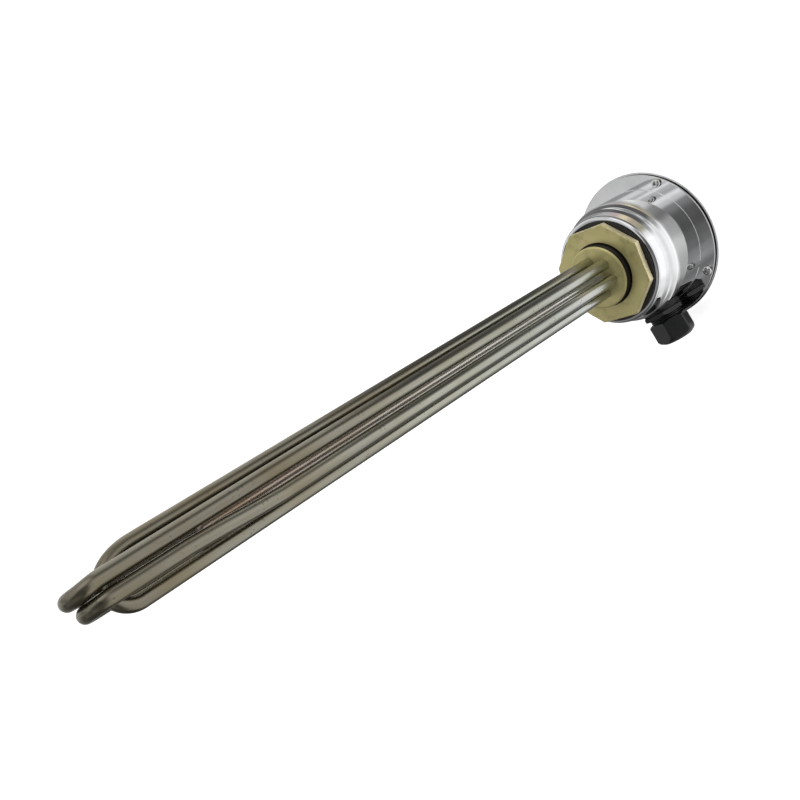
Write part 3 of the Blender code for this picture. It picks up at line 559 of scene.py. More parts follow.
@dataclass(frozen=True)
class PlugBrass(MachinedBrass):
    """The plug's brass: dull faces, flats painted pale as a highlight of their lit sides, and a thread
    painted near-black as shade.
    """

    # Painted highlight: pale brass given to every flat, standing in for the light on the lit side faces.
    flat_highlight_colour: Colour = (0.86, 0.77, 0.5)
    # Painted shade: near-black for the thread, standing in for the shaded side of the boss.
    thread_shade_colour: Colour = (0.02, 0.016, 0.01)
    flats_top: float = 0.0702
    flats_from: float = 0.0340
    thread: tuple[float, float] = (0.0706, 0.0770)
    thread_from: float = 0.0221
    face_ring: float = 0.0249
    flats_gloss: float = 0.45
    flats_metallic: float = 0.6

    def paint(self, coat: Coat) -> None:
        """The dull brass, then the flats painted pale as a highlight and the thread painted near-black as
        shade over it.

        Args:
            coat: The bench and the shader.
        """
        super().paint(coat)
        dull = coat.laid("Base Color")
        gloss = coat.laid("Roughness")
        place = coat.place()
        parts = coat.put("SeparateXYZ", {0: place}).outputs
        flat = coat.put("CombineXYZ", {"X": parts["X"], "Y": parts["Y"]}).outputs[0]
        radius = coat.put("VectorMath", {0: flat}, operation="LENGTH").outputs["Value"]
        ragged = coat.span(coat.noise(place, 260.0, 4.0, 0.6), 0.25, 0.75, -0.0005, 0.0005)
        level = coat.sum("ADD", parts["Z"], ragged)
        on_flats = coat.sum(
            "MULTIPLY",
            coat.span(radius, self.flats_from, self.flats_from + 0.0004),
            coat.span(level, self.flats_top, self.flats_top + 0.0004, 1.0, 0.0),
        )
        on_thread = coat.sum(
            "MULTIPLY",
            coat.span(parts["Z"], self.thread[0], self.thread[0] + 0.0001),
            coat.span(parts["Z"], self.thread[1], self.thread[1] + 0.0002, 1.0, 0.0),
        )
        outside = coat.span(radius, self.thread_from, self.thread_from + 0.0003)
        inside = coat.span(radius, self.face_ring, self.face_ring + 0.0002, 1.0, 0.0)
        # Painted shade: the thread between the face ring and the octagon is mixed to near-black.
        dark = coat.sum("MULTIPLY", coat.sum("MULTIPLY", on_thread, outside), inside)
        # Painted highlight: the flats are mixed to the pale brass for the light on the lit side faces.
        flat_highlighted = coat.blend(coat.sum("MULTIPLY", on_flats, 0.9), dull, self.flat_highlight_colour)
        coat.lay("Base Color", coat.blend(dark, flat_highlighted, self.thread_shade_colour))
        coat.lay("Roughness", coat.span(on_flats, 0.0, 1.0, gloss, self.flats_gloss))
        metal = coat.span(on_flats, 0.0, 1.0, self.metallic, self.flats_metallic)
        coat.lay("Metallic", metal)


@dataclass(frozen=True)
class BareSteel(Finish):
    """Machined or plated small steel parts with light wear."""

    tint: Colour = (0.5, 0.48, 0.4)

    def paint(self, coat: Coat) -> None:
        """Plating clouds in the colour, and fine wear in the gloss.

        Args:
            coat: The bench and the shader.
        """
        place = coat.place()
        clouds = coat.mask(EFFECTS.clouds, place, Scale=210.0, Low=0.35, High=0.7)
        scratches = coat.mask(EFFECTS.hairlines, place, Scale=160.0)
        tone = coat.blend(coat.sum("MULTIPLY", clouds, 0.5), self.colour, self.tint)
        coat.lay("Base Color", coat.blend(scratches, tone, (0.75, 0.75, 0.74)))
        coat.lay("Roughness", coat.raised(clouds, 0.12, self.roughness))
        coat.lift(coat.noise(place, 2600.0, 2.0), 0.000004)


@dataclass(frozen=True)
class Moulded(Finish):
    """Moulded plastic or rubber with a fine grain, faint flow clouds and a little dust."""

    grain: float = 3200.0
    grain_depth: float = 0.000012
    dust: Colour = (0.12, 0.12, 0.12)
    dust_share: float = 0.25

    def paint(self, coat: Coat) -> None:
        """Grain in the relief, clouds in the gloss, and dust in the colour.

        Args:
            coat: The bench and the shader.
        """
        place = coat.place()
        grain = coat.noise(place, self.grain, 3.0, 0.6)
        clouds = coat.mask(EFFECTS.clouds, place, Scale=95.0, Low=0.35, High=0.7)
        specks = coat.mask(EFFECTS.specks, place, Scale=900.0, Size=0.3)
        deep = tuple(part * 0.75 for part in self.colour)
        tone = coat.blend(clouds, self.colour, deep)
        grained = coat.blend(coat.span(grain, 0.3, 0.7, 0.0, 0.35), tone, deep)
        dusty = coat.blend(coat.sum("MULTIPLY", specks, self.dust_share), grained, self.dust)
        coat.lay("Base Color", dusty)
        coat.lay("Roughness", coat.raised(clouds, 0.1, self.roughness))
        coat.lift(grain, self.grain_depth)


POLISHED = PolishedSteel("stainless_polished", (0.84, 0.845, 0.855), 0.02, 1.0)
PLAIN_STEEL = BareSteel("stainless_plain", (0.8, 0.81, 0.82), 0.14, 1.0)
SHEATH = HeatedSheath("element_sheath", (0.26, 0.245, 0.2), 0.2, 1.0)
POCKET = HeatedSheath(
    "pocket_steel",
    (0.5, 0.42, 0.36),
    0.15,
    0.6,
    stops=(
        (0.0, (0.92, 0.91, 0.87)),
        (0.45, (0.9, 0.87, 0.81)),
        (0.7, (0.62, 0.56, 0.5)),
        (0.88, (0.62, 0.5, 0.43)),
    ),
)
PLUG_BRASS = PlugBrass("plug_brass", (0.61, 0.53, 0.255), 0.27, 0.58)
BRIGHT_BRASS = MachinedBrass("terminal_brass", (0.66, 0.5, 0.23), 0.26, 1.0, stain=(0.4, 0.27, 0.1))
RUBBER = Moulded("black_rubber", (0.014, 0.013, 0.012), 0.6, dust=(0.07, 0.068, 0.065))
GLAND_BLACK = Moulded(
    "gland_plastic", (0.008, 0.009, 0.0105), 0.27, grain_depth=0.000006, dust=(0.05, 0.05, 0.05)
)
CERAMIC = Moulded("white_ceramic", (0.8, 0.78, 0.71), 0.42, dust=(0.5, 0.46, 0.38))
CASE_PLASTIC = Moulded("case_plastic", (0.62, 0.6, 0.54), 0.42, dust=(0.35, 0.33, 0.3))
ZINC = BareSteel("zinc_steel", (0.55, 0.56, 0.57), 0.28, 1.0, tint=(0.52, 0.5, 0.36))


# Shapes


@dataclass(frozen=True)
class Corner:
    """A corner of a turned section, in millimetres, with the reach of its rounding."""

    radius: float
    level: float
    rounding: float = 0.0
    segments: int = 5


def soften(work: bmesh.types.BMesh, geom: list, reach: float, segments: int, kind: str = "EDGES") -> None:
    """Rounds corners or edges.

    Args:
        work: The mesh.
        geom: The vertices or edges.
        reach: Reach of the rounding in millimetres.
        segments: Faces across it.
        kind: VERTICES or EDGES.
    """
    bmesh.ops.bevel(
        work,
        geom=geom,
        offset=reach * MM,
        offset_type="OFFSET",
        segments=segments,
        profile=0.5,
        affect=kind,
        material=-1,
    )


def spin_whole(work: bmesh.types.BMesh, steps: int) -> None:
    """Spins a section into a full turn round Z.

    Args:
        work: The mesh with the section.
        steps: Faces round the turn.
    """
    bmesh.ops.spin(
        work,
        geom=work.verts[:] + work.edges[:],
        cent=(0.0, 0.0, 0.0),
        axis=(0.0, 0.0, 1.0),
        dvec=(0.0, 0.0, 0.0),
        angle=2 * math.pi,
        steps=steps,
        use_merge=True,
    )


def placed(work: bmesh.types.BMesh, name: str) -> bpy.types.Object:
    """Ends the work on a mesh and puts it in the scene.

    Args:
        work: The mesh, which is freed.
        name: The object's name.

    Returns:
        The new object.
    """
    mesh = bpy.data.meshes.new(name)
    work.to_mesh(mesh)
    work.free()
    made = bpy.data.objects.new(name, mesh)
    bpy.context.scene.collection.objects.link(made)
    return made


class Shape:
    """A mesh in the making, worked with bmesh operators. Its sizes go in as millimetres."""

    def __init__(self) -> None:
        """Starts an empty mesh."""
        self.work = bmesh.new()

    def turn(self, steps: int, *corners: Corner) -> "Shape":
        """Spins a section round Z. A section that starts on the axis ends there, and any other is a ring.

        Args:
            steps: Faces round the full turn.
            *corners: The section's corners in order.

        Returns:
            This shape.
        """
        work = bmesh.new()
        points = [work.verts.new((c.radius * MM, 0.0, c.level * MM)) for c in corners]
        ends = points[1:] + points[:1] if corners[0].radius else points[1:]
        for start, end in zip(points, ends):
            work.edges.new((start, end))
        for point, c in zip(points, corners):
            if c.rounding:
                soften(work, [point], c.rounding, c.segments, "VERTICES")
        spin_whole(work, steps)
        return self.take(work)

    def prism(
        self, sides: int, flats: float, bottom: float, top: float, turned: float, edge: float = 0.0
    ) -> "Shape":
        """A regular prism with softened edges.

        Args:
            sides: Number of sides.
            flats: Width across flats.
            bottom: Lower level.
            top: Upper level.
            turned: Angle in degrees of its first corner.
            edge: How far the edges are softened.

        Returns:
            This shape.
        """
        work = bmesh.new()
        radius = flats / 2 / math.cos(math.pi / sides) * MM
        bmesh.ops.create_cone(
            work, cap_ends=True, segments=sides, radius1=radius, radius2=radius, depth=(top - bottom) * MM
        )
        first = Vector((1.0, 0.0)).angle_signed(work.verts[:][0].co.xy)
        spin = Matrix.Rotation(math.radians(turned) + first, 4, "Z")
        bmesh.ops.transform(
            work, matrix=Matrix.Translation((0.0, 0.0, (top + bottom) / 2 * MM)) @ spin, verts=work.verts
        )
        if edge:
            soften(work, work.edges[:], edge, 3)
        return self.take(work)

    def sweep(self, path: Sequence[Vector], radius: float, sides: int) -> "Shape":
        """Carries a circle along a path and closes its ends. Keeps the way along it as "flow".

        Args:
            path: Points of the centre line, in metres.
            radius: The tube's radius.
            sides: Faces round the tube.

        Returns:
            This shape.
        """
        work = bmesh.new()
        flow = work.verts.layers.float_vector.new("flow")
        bmesh.ops.create_circle(work, cap_ends=True, segments=sides, radius=radius * MM)
        ring = work.verts[:]
        for vert in ring:
            vert[flow] = vert.co.copy()
        facing = Vector((0.0, 0.0, 1.0))
        here = path[0].copy()
        start = (path[1] - path[0]).normalized()
        first = facing.rotation_difference(start).to_matrix().to_4x4()
        bmesh.ops.transform(work, matrix=Matrix.Translation(here) @ first, verts=ring)
        facing, way = start, 0.0
        edges = work.edges[:]
        for number in range(1, len(path)):
            place = path[number]
            if number + 1 < len(path):
                heading = ((path[number + 1] - place).normalized() + (place - here).normalized()).normalized()
            else:
                heading = (place - here).normalized()
            step = (place - here).length
            way += step
            made = bmesh.ops.extrude_edge_only(work, edges=edges)["geom"]
            ring = [g for g in made if isinstance(g, bmesh.types.BMVert)]
            edges = [g for g in made if isinstance(g, bmesh.types.BMEdge)]
            turn = facing.rotation_difference(heading).to_matrix().to_4x4()
            carry = Matrix.Translation(place) @ turn @ Matrix.Translation(-here)
            bmesh.ops.transform(work, matrix=carry, verts=ring)
            for vert in ring:
                vert[flow] = Vector((vert[flow].x, vert[flow].y, way))
            here, facing = place.copy(), heading
        bmesh.ops.holes_fill(work, edges=edges, sides=0)
        return self.take(work)

    def take(self, part: bmesh.types.BMesh) -> "Shape":
        """Welds a finished part, turns its faces outwards and adds it to this shape.

        Args:
            part: The part, which is freed.

        Returns:
            This shape.
        """
        bmesh.ops.remove_doubles(part, verts=part.verts, dist=WELD)
        bmesh.ops.recalc_face_normals(part, faces=part.faces)
        mesh = bpy.data.meshes.new("part")
        part.to_mesh(mesh)
        part.free()
        self.work.from_mesh(mesh)
        bpy.data.meshes.remove(mesh)
        return self

    def move(self, matrix: Matrix) -> None:
        """Moves the whole shape by a matrix."""
        bmesh.ops.transform(self.work, matrix=matrix, verts=self.work.verts)

    def again(self, places: Sequence[Vector]) -> None:
        """Repeats the shape at more places.

        Args:
            places: Shifts from where the shape is, in metres.
        """
        whole = self.work.verts[:] + self.work.edges[:] + self.work.faces[:]
        for place in places:
            made = bmesh.ops.duplicate(self.work, geom=whole)["geom"]
            verts = [g for g in made if isinstance(g, bmesh.types.BMVert)]
            bmesh.ops.translate(self.work, verts=verts, vec=place)

    def lay_along_gland(self, level: float) -> None:
        """Lays a shape that was built up +Z along +X at the gland's level."""
        self.move(Matrix.Translation((0.0, 0.0, level * MM)) @ Matrix.Rotation(math.pi / 2, 4, "Y"))

    def to_object(self, name: str) -> bpy.types.Object:
        """The shape as an object in the scene, smooth but for its sharp edges.

        Args:
            name: The object's name.

        Returns:
            The new object.
        """
        for face in self.work.faces:
            face.smooth = True
        for edge in self.work.edges:
            edge.smooth = edge.is_manifold and edge.calc_face_angle() < SHARP_FROM
        return placed(self.work, name)


def trimmed(target: Shape, tools: Sequence[tuple[Trim, Shape]]) -> Shape:
    """Applies Booleans to a shape and gives the result as a new shape.

    Args:
        target: The shape to work on.
        tools: The part to keep, each with its cutting shape.

    Returns:
        The trimmed shape.
    """
    base = target.to_object("blank")
    cutters = []
    for kept, tool in tools:
        cutter = tool.to_object("cutter")
        cutters.append(cutter)
        step = base.modifiers.new("trim", "BOOLEAN")
        step.operation = kept.value
        step.solver = "EXACT"
        step.object = cutter
    bpy.context.view_layer.update()
    mesh = bpy.data.meshes.new_from_object(base.evaluated_get(bpy.context.evaluated_depsgraph_get()))
    for obj in (base, *cutters):
        bpy.data.objects.remove(obj, do_unlink=True)
    result = Shape()
    result.work.from_mesh(mesh)
    bpy.data.meshes.remove(mesh)
    bmesh.ops.remove_doubles(result.work, verts=result.work.verts, dist=WELD)
    bmesh.ops.dissolve_degenerate(result.work, edges=result.work.edges, dist=WELD)
    bmesh.ops.recalc_face_normals(result.work, faces=result.work.faces)
    return result


def show(shape: Shape, name: str, finish: Finish, nodes: Sequence[str]) -> None:
    """Makes a shape a visible piece that stands for CAD nodes.

    Args:
        shape: The finished shape.
        name: The piece's name.
        finish: Its finish.
        nodes: The CAD nodes that it replaces.
    """
    piece = shape.to_object(name)
    piece.data.materials.append(finish.material())
    even = piece.modifiers.new("even_normals", "WEIGHTED_NORMAL")
    even.keep_sharp = True
    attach(piece, BODY)
    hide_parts(*nodes)
    report.info("%s: %d faces, for %s", name, len(piece.data.polygons), ", ".join(nodes))


def polar(radius: float, degrees: float, level: float = 0.0) -> Vector:
    """A point in metres at a radius, an angle and a level round the heater's axis.

    Args:
        radius: Radius in millimetres.
        degrees: Angle from +X.
        level: Height in millimetres.

    Returns:
        The point.
    """
    angle = math.radians(degrees)
    return Vector((radius * math.cos(angle), radius * math.sin(angle), level)) * MM


# Sub-assemblies


@dataclass(frozen=True)
class Lean:
    """How far a leg lies to one side, and between which depths below the tip it gets there."""

    shift: float = 0.0
    low: float = 2.0
    high: float = 1.0

    def at(self, depth: float) -> float:
        """The shift at a depth below the tip.

        Args:
            depth: Depth in millimetres.

        Returns:
            The shift in millimetres.
        """
        share = min(max((self.low - depth) / (self.low - self.high), 0.0), 1.0)
        return self.shift * share * share * (3 - 2 * share)


@dataclass(frozen=True)
class Hairpin:
    """One bent heating element."""

    node: str
    legs: tuple[float, float]
    tip: float
    reaches: tuple[float, float]
    leans: tuple[Lean, Lean] = (Lean(), Lean())
    radius: float = 4.24
    circle: float = 12.7
    cold_end: float = 41.6
    bend_steps: int = 44
    leg_steps: int = 24

    def path(self) -> list[Vector]:
        """The centre line from one cold end over the bend to the other.

        Returns:
            Points in metres.
        """
        start, end = (polar(self.circle, angle) for angle in self.legs)
        middle, across = (start + end) / 2, (start - end) / 2
        top = self.tip - self.radius
        points = []
        for leg, foot in ((0, start), (1, end)):
            rise = (top - self.reaches[leg] - 1.0 - self.cold_end) / self.leg_steps
            levels = [self.cold_end + rise * step for step in range(self.leg_steps + 1)]
            line = [
                foot + Vector((self.leans[leg].at(self.tip - level), 0.0, level)) * MM for level in levels
            ]
            if leg == 0:
                points += line + self.bend(middle, across, top)
            else:
                points += reversed(line)
        return points

    def bend(self, middle: Vector, across: Vector, top: float) -> list[Vector]:
        """The centre line of the bend.

        Args:
            middle: The point between the legs, at level 0.
            across: From there to the first leg.
            top: The centre line's highest level.

        Returns:
            Points in metres.
        """
        points = []
        for step in range(self.bend_steps + 1):
            angle = math.pi * step / self.bend_steps
            reach = self.reaches[0] if step < self.bend_steps / 2 else self.reaches[1]
            level = top - reach * (1 - math.sin(angle))
            share = (1 - math.cos(angle)) / 2
            depth = self.tip - level
            lean = self.leans[0].at(depth) * (1 - share) + self.leans[1].at(depth) * share
            points.append(middle + across * math.cos(angle) + Vector((lean, 0.0, level)) * MM)
        return points

    def build(self) -> None:
        """Sweeps the tube and dresses it."""
        shape = Shape().sweep(self.path(), self.radius, 40)
        show(shape, f"{self.node}_tube", SHEATH, [self.node])


@dataclass
class ElementBundle:
    """The three hairpins and the closed pocket between them."""

    bend: float = 11.0
    hairpins: tuple[Hairpin, ...] = field(init=False)
    pocket_radius: float = 3.99
    pocket_wall: float = 0.75
    pocket_tip: float = 450.2
    pocket_end: float = 27.1

    def __post_init__(self) -> None:
        """Gives each hairpin its legs, its height and its lean."""
        self.hairpins = (
            Hairpin(
                "hairpin_left",
                (-120, 120),
                522.19,
                (self.bend, self.bend),
                (Lean(3.0, 150, 85), Lean(1.2, 18, 5)),
            ),
            Hairpin(
                "hairpin_right",
                (-60, 60),
                518.3,
                (self.bend, self.bend),
                (Lean(-0.75, 110, 40), Lean(-3.0, 118, 50)),
            ),
            Hairpin("hairpin_wide", (0, 180), 506.8, (12.7, 22.0)),
        )

    def build(self) -> None:
        """Builds the hairpins and the pocket."""
        for hairpin in self.hairpins:
            hairpin.build()
        self.build_pocket()

    def build_pocket(self) -> None:
        """The pocket with its domed, welded tip and its open end in the housing."""
        outer, inner = self.pocket_radius, self.pocket_radius - self.pocket_wall
        shape = Shape().turn(
            40,
            Corner(0.0, self.pocket_tip), Corner(outer, self.pocket_tip, outer - 0.9, 8),
            Corner(outer, self.pocket_end), Corner(inner, self.pocket_end),
            Corner(inner, self.pocket_tip - 4.0), Corner(0.0, self.pocket_tip - 4.0),
        )
        flow = shape.work.verts.layers.float_vector.new("flow")
        for vert in shape.work.verts:
            vert[flow] = vert.co.copy()
        show(shape, "sensor_pocket_tube", POCKET, ["sensor_pocket"])


@dataclass
class BrassPlug:
    """The octagon with its threaded boss, and the black ring that seals it on the housing."""

    flats: float = 71.8
    first_corner: float = 12.5
    face: float = 70.9
    back: float = 65.1
    edge: float = 0.8
    boss_radius: float = 23.9
    boss_top: float = 78.2
    boss_chamfer: float = 1.1
    pitch: float = 2.309
    thread_depth: float = 1.25
    spigot_radius: float = 20.0
    spigot_end: float = 50.1
    seal_radius: float = 39.2
    seal_bore: float = 20.35
    seal_levels: tuple[float, float] = (63.4, 64.8)

    def build(self) -> None:
        """Builds the plug and its seal."""
        self.build_plug()
        self.build_seal()

    def thread_corners(self) -> list[Corner]:
        """The boss's section with its thread, from the top face down to the octagon.

        Returns:
            The corners.
        """
        root = self.boss_radius - self.thread_depth
        corners = [
            Corner(0.0, self.boss_top),
            Corner(self.boss_radius - self.boss_chamfer, self.boss_top, 0.25, 3),
            Corner(self.boss_radius, self.boss_top - self.boss_chamfer, 0.2, 3),
        ]
        level = self.boss_top - self.boss_chamfer - 0.3
        while level - self.pitch > self.face + 0.4:
            corners += [
                Corner(self.boss_radius, level, 0.15, 2),
                Corner(root, level - self.pitch * 0.5, 0.15, 2),
                Corner(self.boss_radius, level - self.pitch + 0.15, 0.15, 2),
            ]
            level -= self.pitch
        corners += [
            Corner(root, self.face + 0.6, 0.2, 2),
            Corner(root, self.face - 1.0),
            Corner(0.0, self.face - 1.0),
        ]
        return corners

    def build_plug(self) -> None:
        """The octagon, boss and spigot."""
        shape = Shape().prism(8, self.flats, self.back, self.face, self.first_corner, self.edge)
        shape.turn(128, *self.thread_corners())
        shape.turn(
            96,
            Corner(0.0, self.back + 0.5), Corner(self.spigot_radius, self.back + 0.5),
            Corner(self.spigot_radius, self.spigot_end, 0.8, 3), Corner(0.0, self.spigot_end),
        )
        show(shape, "brass_plug", PLUG_BRASS, ["plug"])

    def build_seal(self) -> None:
        """The rubber ring, its edge bulged a little by the clamping."""
        low, high = self.seal_levels
        shape = Shape().turn(
            160,
            Corner(self.seal_bore, high), Corner(self.seal_radius, high, 0.65, 5),
            Corner(self.seal_radius, low, 0.65, 5), Corner(self.seal_bore, low),
        )
        show(shape, "plug_seal_ring", RUBBER, ["plug_seal"])


@dataclass
class TerminalHousing:
    """The spun and polished can."""

    hole: float = 20.35
    top: float = 63.1
    sheet: float = 1.5
    collar_top: float = 42.2
    collar: float = 42.9
    lip: float = 2.8
    crease: float = 52.0
    crease_rounding: float = 2.8
    body: float = 47.0
    shoulder: float = 46.8
    shoulder_rounding: float = 3.6
    flange: float = 58.3
    flange_top: float = 7.1
    flange_bottom: float = 5.6
    flange_fillet: float = 0.4

    def build(self) -> None:
        """Spins the section with its wall thickness."""
        inner = self.body - self.sheet
        collar_inner = self.collar_top - self.sheet
        ceiling = self.top - self.sheet
        shape = Shape().turn(
            192,
            Corner(self.hole, self.top), Corner(self.collar_top, self.top, self.lip, 10),
            Corner(self.collar, self.crease, self.crease_rounding, 8),
            Corner(self.body, self.shoulder, self.shoulder_rounding, 12),
            Corner(self.body, self.flange_top, self.flange_fillet, 6),
            Corner(self.flange, self.flange_top, 0.45, 4), Corner(self.flange, self.flange_bottom, 0.45, 4),
            Corner(inner, self.flange_bottom, self.flange_fillet + 1.0, 4),
            Corner(inner, self.shoulder - self.sheet, 3.0, 5),
            Corner(collar_inner, self.crease - self.sheet, 1.0, 4),
            Corner(collar_inner, ceiling, self.lip - self.sheet, 4), Corner(self.hole, ceiling),
        )
        show(shape, "housing_shell", POLISHED, ["housing"])


@dataclass
class LidWithScrews:
    """The lid, its gasket and the four cap screws."""

    radius: float = 59.7
    thickness: float = 4.0
    bevel: float = 2.6
    register: float = 44.2
    register_width: float = 2.0
    register_top: float = 7.0
    gasket_bore: float = 46.0
    gasket_radius: float = 57.3
    gasket_levels: tuple[float, float] = (4.3, 5.3)
    screw_circle: float = 54.4
    seat: float = 7.4
    head_radius: float = 3.5
    head_height: float = 2.8
    shank: float = 1.95
    shank_end: float = 1.0
    socket_flats: float = 3.0
    socket_depth: float = 1.8
    socket_mouth: tuple[float, float] = (1.4, 1.9)

    def build(self) -> None:
        """Builds the lid, the gasket and the screws."""
        self.build_lid()
        self.build_gasket()
        self.build_screws()

    def build_lid(self) -> None:
        """The lid with its register rim and a soft bevel round its outer face."""
        shape = Shape().turn(
            192,
            Corner(0.0, self.thickness), Corner(self.register - self.register_width, self.thickness),
            Corner(self.register - self.register_width, self.register_top),
            Corner(self.register, self.register_top, 0.4, 3), Corner(self.register, self.thickness),
            Corner(self.radius, self.thickness, 0.35, 4), Corner(self.radius, self.bevel, 0.5, 4),
            Corner(self.radius - self.bevel, 0.0, 0.6, 4), Corner(0.0, 0.0),
        )
        show(shape, "lid_plate", POLISHED, ["lid"])

    def build_gasket(self) -> None:
        """The flat rubber gasket in the seam."""
        low, high = self.gasket_levels
        shape = Shape().turn(
            160,
            Corner(self.gasket_bore, high), Corner(self.gasket_radius, high, 0.4, 4),
            Corner(self.gasket_radius, low, 0.4, 4), Corner(self.gasket_bore, low),
        )
        show(shape, "lid_gasket_ring", RUBBER, ["lid_gasket"])

    def build_screws(self) -> None:
        """Four socket-head screws. The heads have a rounded rim and a hexagon socket."""
        top = self.seat + self.head_height
        blank = Shape().turn(
            40,
            Corner(0.0, top), Corner(self.head_radius - 1.2, top - 0.1, 0.6, 4),
            Corner(self.head_radius, top - 1.1, 0.7, 5), Corner(self.head_radius, self.seat, 0.15, 2),
            Corner(self.shank, self.seat), Corner(self.shank, self.shank_end), Corner(0.0, self.shank_end),
        )
        socket = Shape().prism(6, self.socket_flats, top - self.socket_depth, top + 1.0, 0.0)
        narrow, wide = self.socket_mouth
        mouth = Shape().turn(
            32,
            Corner(0.0, top - 0.4), Corner(narrow, top - 0.4),
            Corner(wide, top + 0.1), Corner(0.0, top + 0.1),
        )
        screw = trimmed(blank, [(Trim.OUTSIDE, socket), (Trim.OUTSIDE, mouth)])
        first = polar(self.screw_circle, 45.0)
        screw.move(Matrix.Translation(first))
        screw.again([polar(self.screw_circle, angle) - first for angle in (135.0, 225.0, 315.0)])
        nodes = [f"lid_screw_{number}" for number in (1, 2, 3, 4)]
        show(screw, "lid_cap_screws", PLAIN_STEEL, nodes)


@dataclass
class CableGland:
    """The black cable gland on the housing's round wall."""

    level: float = 27.5
    wall: float = 47.0
    seal_radius: float = 15.0
    seal_bore: float = 12.8
    seal_top: float = 47.9
    hex_flats: float = 30.0
    hex_start: float = 48.2
    hex_top: float = 51.6
    thread_radius: float = 12.5
    thread_tail: float = 35.4
    neck_top: float = 62.9
    bore: float = 9.0
    nut_flats: float = 28.0
    nut_start: float = 55.7
    nut_top: float = 73.7
    nut_turn: float = 13.0
    nut_corner: float = 1.1
    pitch: float = 1.5
    thread_depth: float = 0.75
    dome_drop: float = 3.4
    dome_rounding: float = 3.2
    mouth: float = 8.0
    mouth_land: float = 2.6
    insert_radius: float = 10.6
    insert_bore: float = 6.5
    insert_start: float = 63.2
    insert_top: float = 71.2

    def build(self) -> None:
        """Builds the gland's pieces that show."""
        self.build_body()
        self.build_nut()
        self.build_insert()
        self.build_seal()

    def build_body(self) -> None:
        """The body's hexagon, its threaded neck and its tail."""
        blank = Shape().prism(6, self.hex_flats, self.hex_start, self.hex_top, 30.0)
        reach = self.hex_flats / 2 / math.cos(math.pi / 6)
        turned = Shape().turn(
            72,
            Corner(0.0, self.hex_top), Corner(self.hex_flats / 2 + 0.3, self.hex_top, 0.4, 3),
            Corner(reach - 0.1, self.hex_top - 1.1, 0.6, 4), Corner(reach - 0.1, self.hex_start),
            Corner(0.0, self.hex_start),
        )
        body = trimmed(blank, [(Trim.INSIDE, turned)])
        root = self.thread_radius - self.thread_depth
        thread = []
        for number in range(4):
            crest = self.hex_top + 1.2 + self.pitch * (3 - number)
            thread += [
                Corner(self.thread_radius, crest + 0.25, 0.1, 2),
                Corner(self.thread_radius, crest - 0.25, 0.1, 2),
                Corner(root, crest - self.pitch / 2, 0.1, 2),
            ]
        body.turn(
            64,
            Corner(self.bore, self.neck_top), Corner(self.thread_radius, self.neck_top, 0.5, 3), *thread,
            Corner(root, self.hex_top - 0.5), Corner(self.thread_radius, self.hex_start + 0.5),
            Corner(self.thread_radius, self.thread_tail, 0.5, 3), Corner(self.bore, self.thread_tail),
        )
        body.lay_along_gland(self.level)
        show(body, "gland_body_hexagon", GLAND_BLACK, ["gland_body"])

    def build_nut(self) -> None:
        """The cap nut: a hexagon whose end is turned to a dome, with a wide round mouth."""
        reach = self.nut_flats / 2 / math.cos(math.pi / 6)
        blank = Shape().prism(6, self.nut_flats, self.nut_start, self.nut_top, 30.0 + self.nut_turn)
        upright = [
            edge for edge in blank.work.edges if abs(edge.verts[0].co.z - edge.verts[1].co.z) > 5 * MM
        ]
        soften(blank.work, upright, self.nut_corner, 4)
        dome = Shape().turn(
            96,
            Corner(0.0, self.nut_top - 0.05),
            Corner(self.mouth + self.mouth_land, self.nut_top - 0.05, 1.0, 5),
            Corner(reach, self.nut_top - self.dome_drop, self.dome_rounding, 10),
            Corner(reach, self.nut_start + 0.9, 0.4, 3),
            Corner(self.nut_flats / 2 - 0.2, self.nut_start - 0.1), Corner(0.0, self.nut_start - 0.1),
        )
        hollow = Shape().turn(
            72,
            Corner(0.0, self.nut_top + 1.0), Corner(self.mouth + 1.2, self.nut_top + 1.0),
            Corner(self.mouth, self.nut_top - 0.5, 0.4, 3), Corner(self.mouth, self.insert_top + 0.3),
            Corner(self.insert_radius + 0.3, self.insert_top + 0.3),
            Corner(self.insert_radius + 0.3, self.neck_top + 0.2),
            Corner(self.thread_radius + 0.3, self.neck_top + 0.1),
            Corner(self.thread_radius + 0.3, self.nut_start - 1.0), Corner(0.0, self.nut_start - 1.0),
        )
        nut = trimmed(blank, [(Trim.INSIDE, dome), (Trim.OUTSIDE, hollow)])
        nut.lay_along_gland(self.level)
        show(nut, "gland_cap_nut", GLAND_BLACK, ["gland_nut"])

    def build_insert(self) -> None:
        """The rubber insert that shows in the mouth, with its stepped bore."""
        shape = Shape().turn(
            64,
            Corner(self.insert_bore, self.insert_start),
            Corner(self.insert_bore, self.insert_top - 1.0, 0.3, 3),
            Corner(self.insert_bore + 0.8, self.insert_top, 0.3, 3),
            Corner(self.insert_radius, self.insert_top, 0.6, 4),
            Corner(self.insert_radius, self.insert_start, 0.6, 4),
        )
        shape.lay_along_gland(self.level)
        show(shape, "gland_rubber_insert", RUBBER, ["gland_insert"])

    def build_seal(self) -> None:
        """The washer, hollowed to sit on the round wall."""
        blank = Shape().turn(
            72,
            Corner(self.seal_bore, self.seal_top), Corner(self.seal_radius, self.seal_top, 0.5, 4),
            Corner(self.seal_radius, self.wall - 4.0), Corner(self.seal_bore, self.wall - 4.0),
        )
        blank.lay_along_gland(self.level)
        wall = Shape().turn(
            192,
            Corner(0.0, self.level + 30.0), Corner(self.wall + 0.05, self.level + 30.0),
            Corner(self.wall + 0.05, self.level - 30.0), Corner(0.0, self.level - 30.0),
        )
        seal = trimmed(blank, [(Trim.OUTSIDE, wall)])
        show(seal, "gland_rubber_washer", RUBBER, ["gland_seal"])


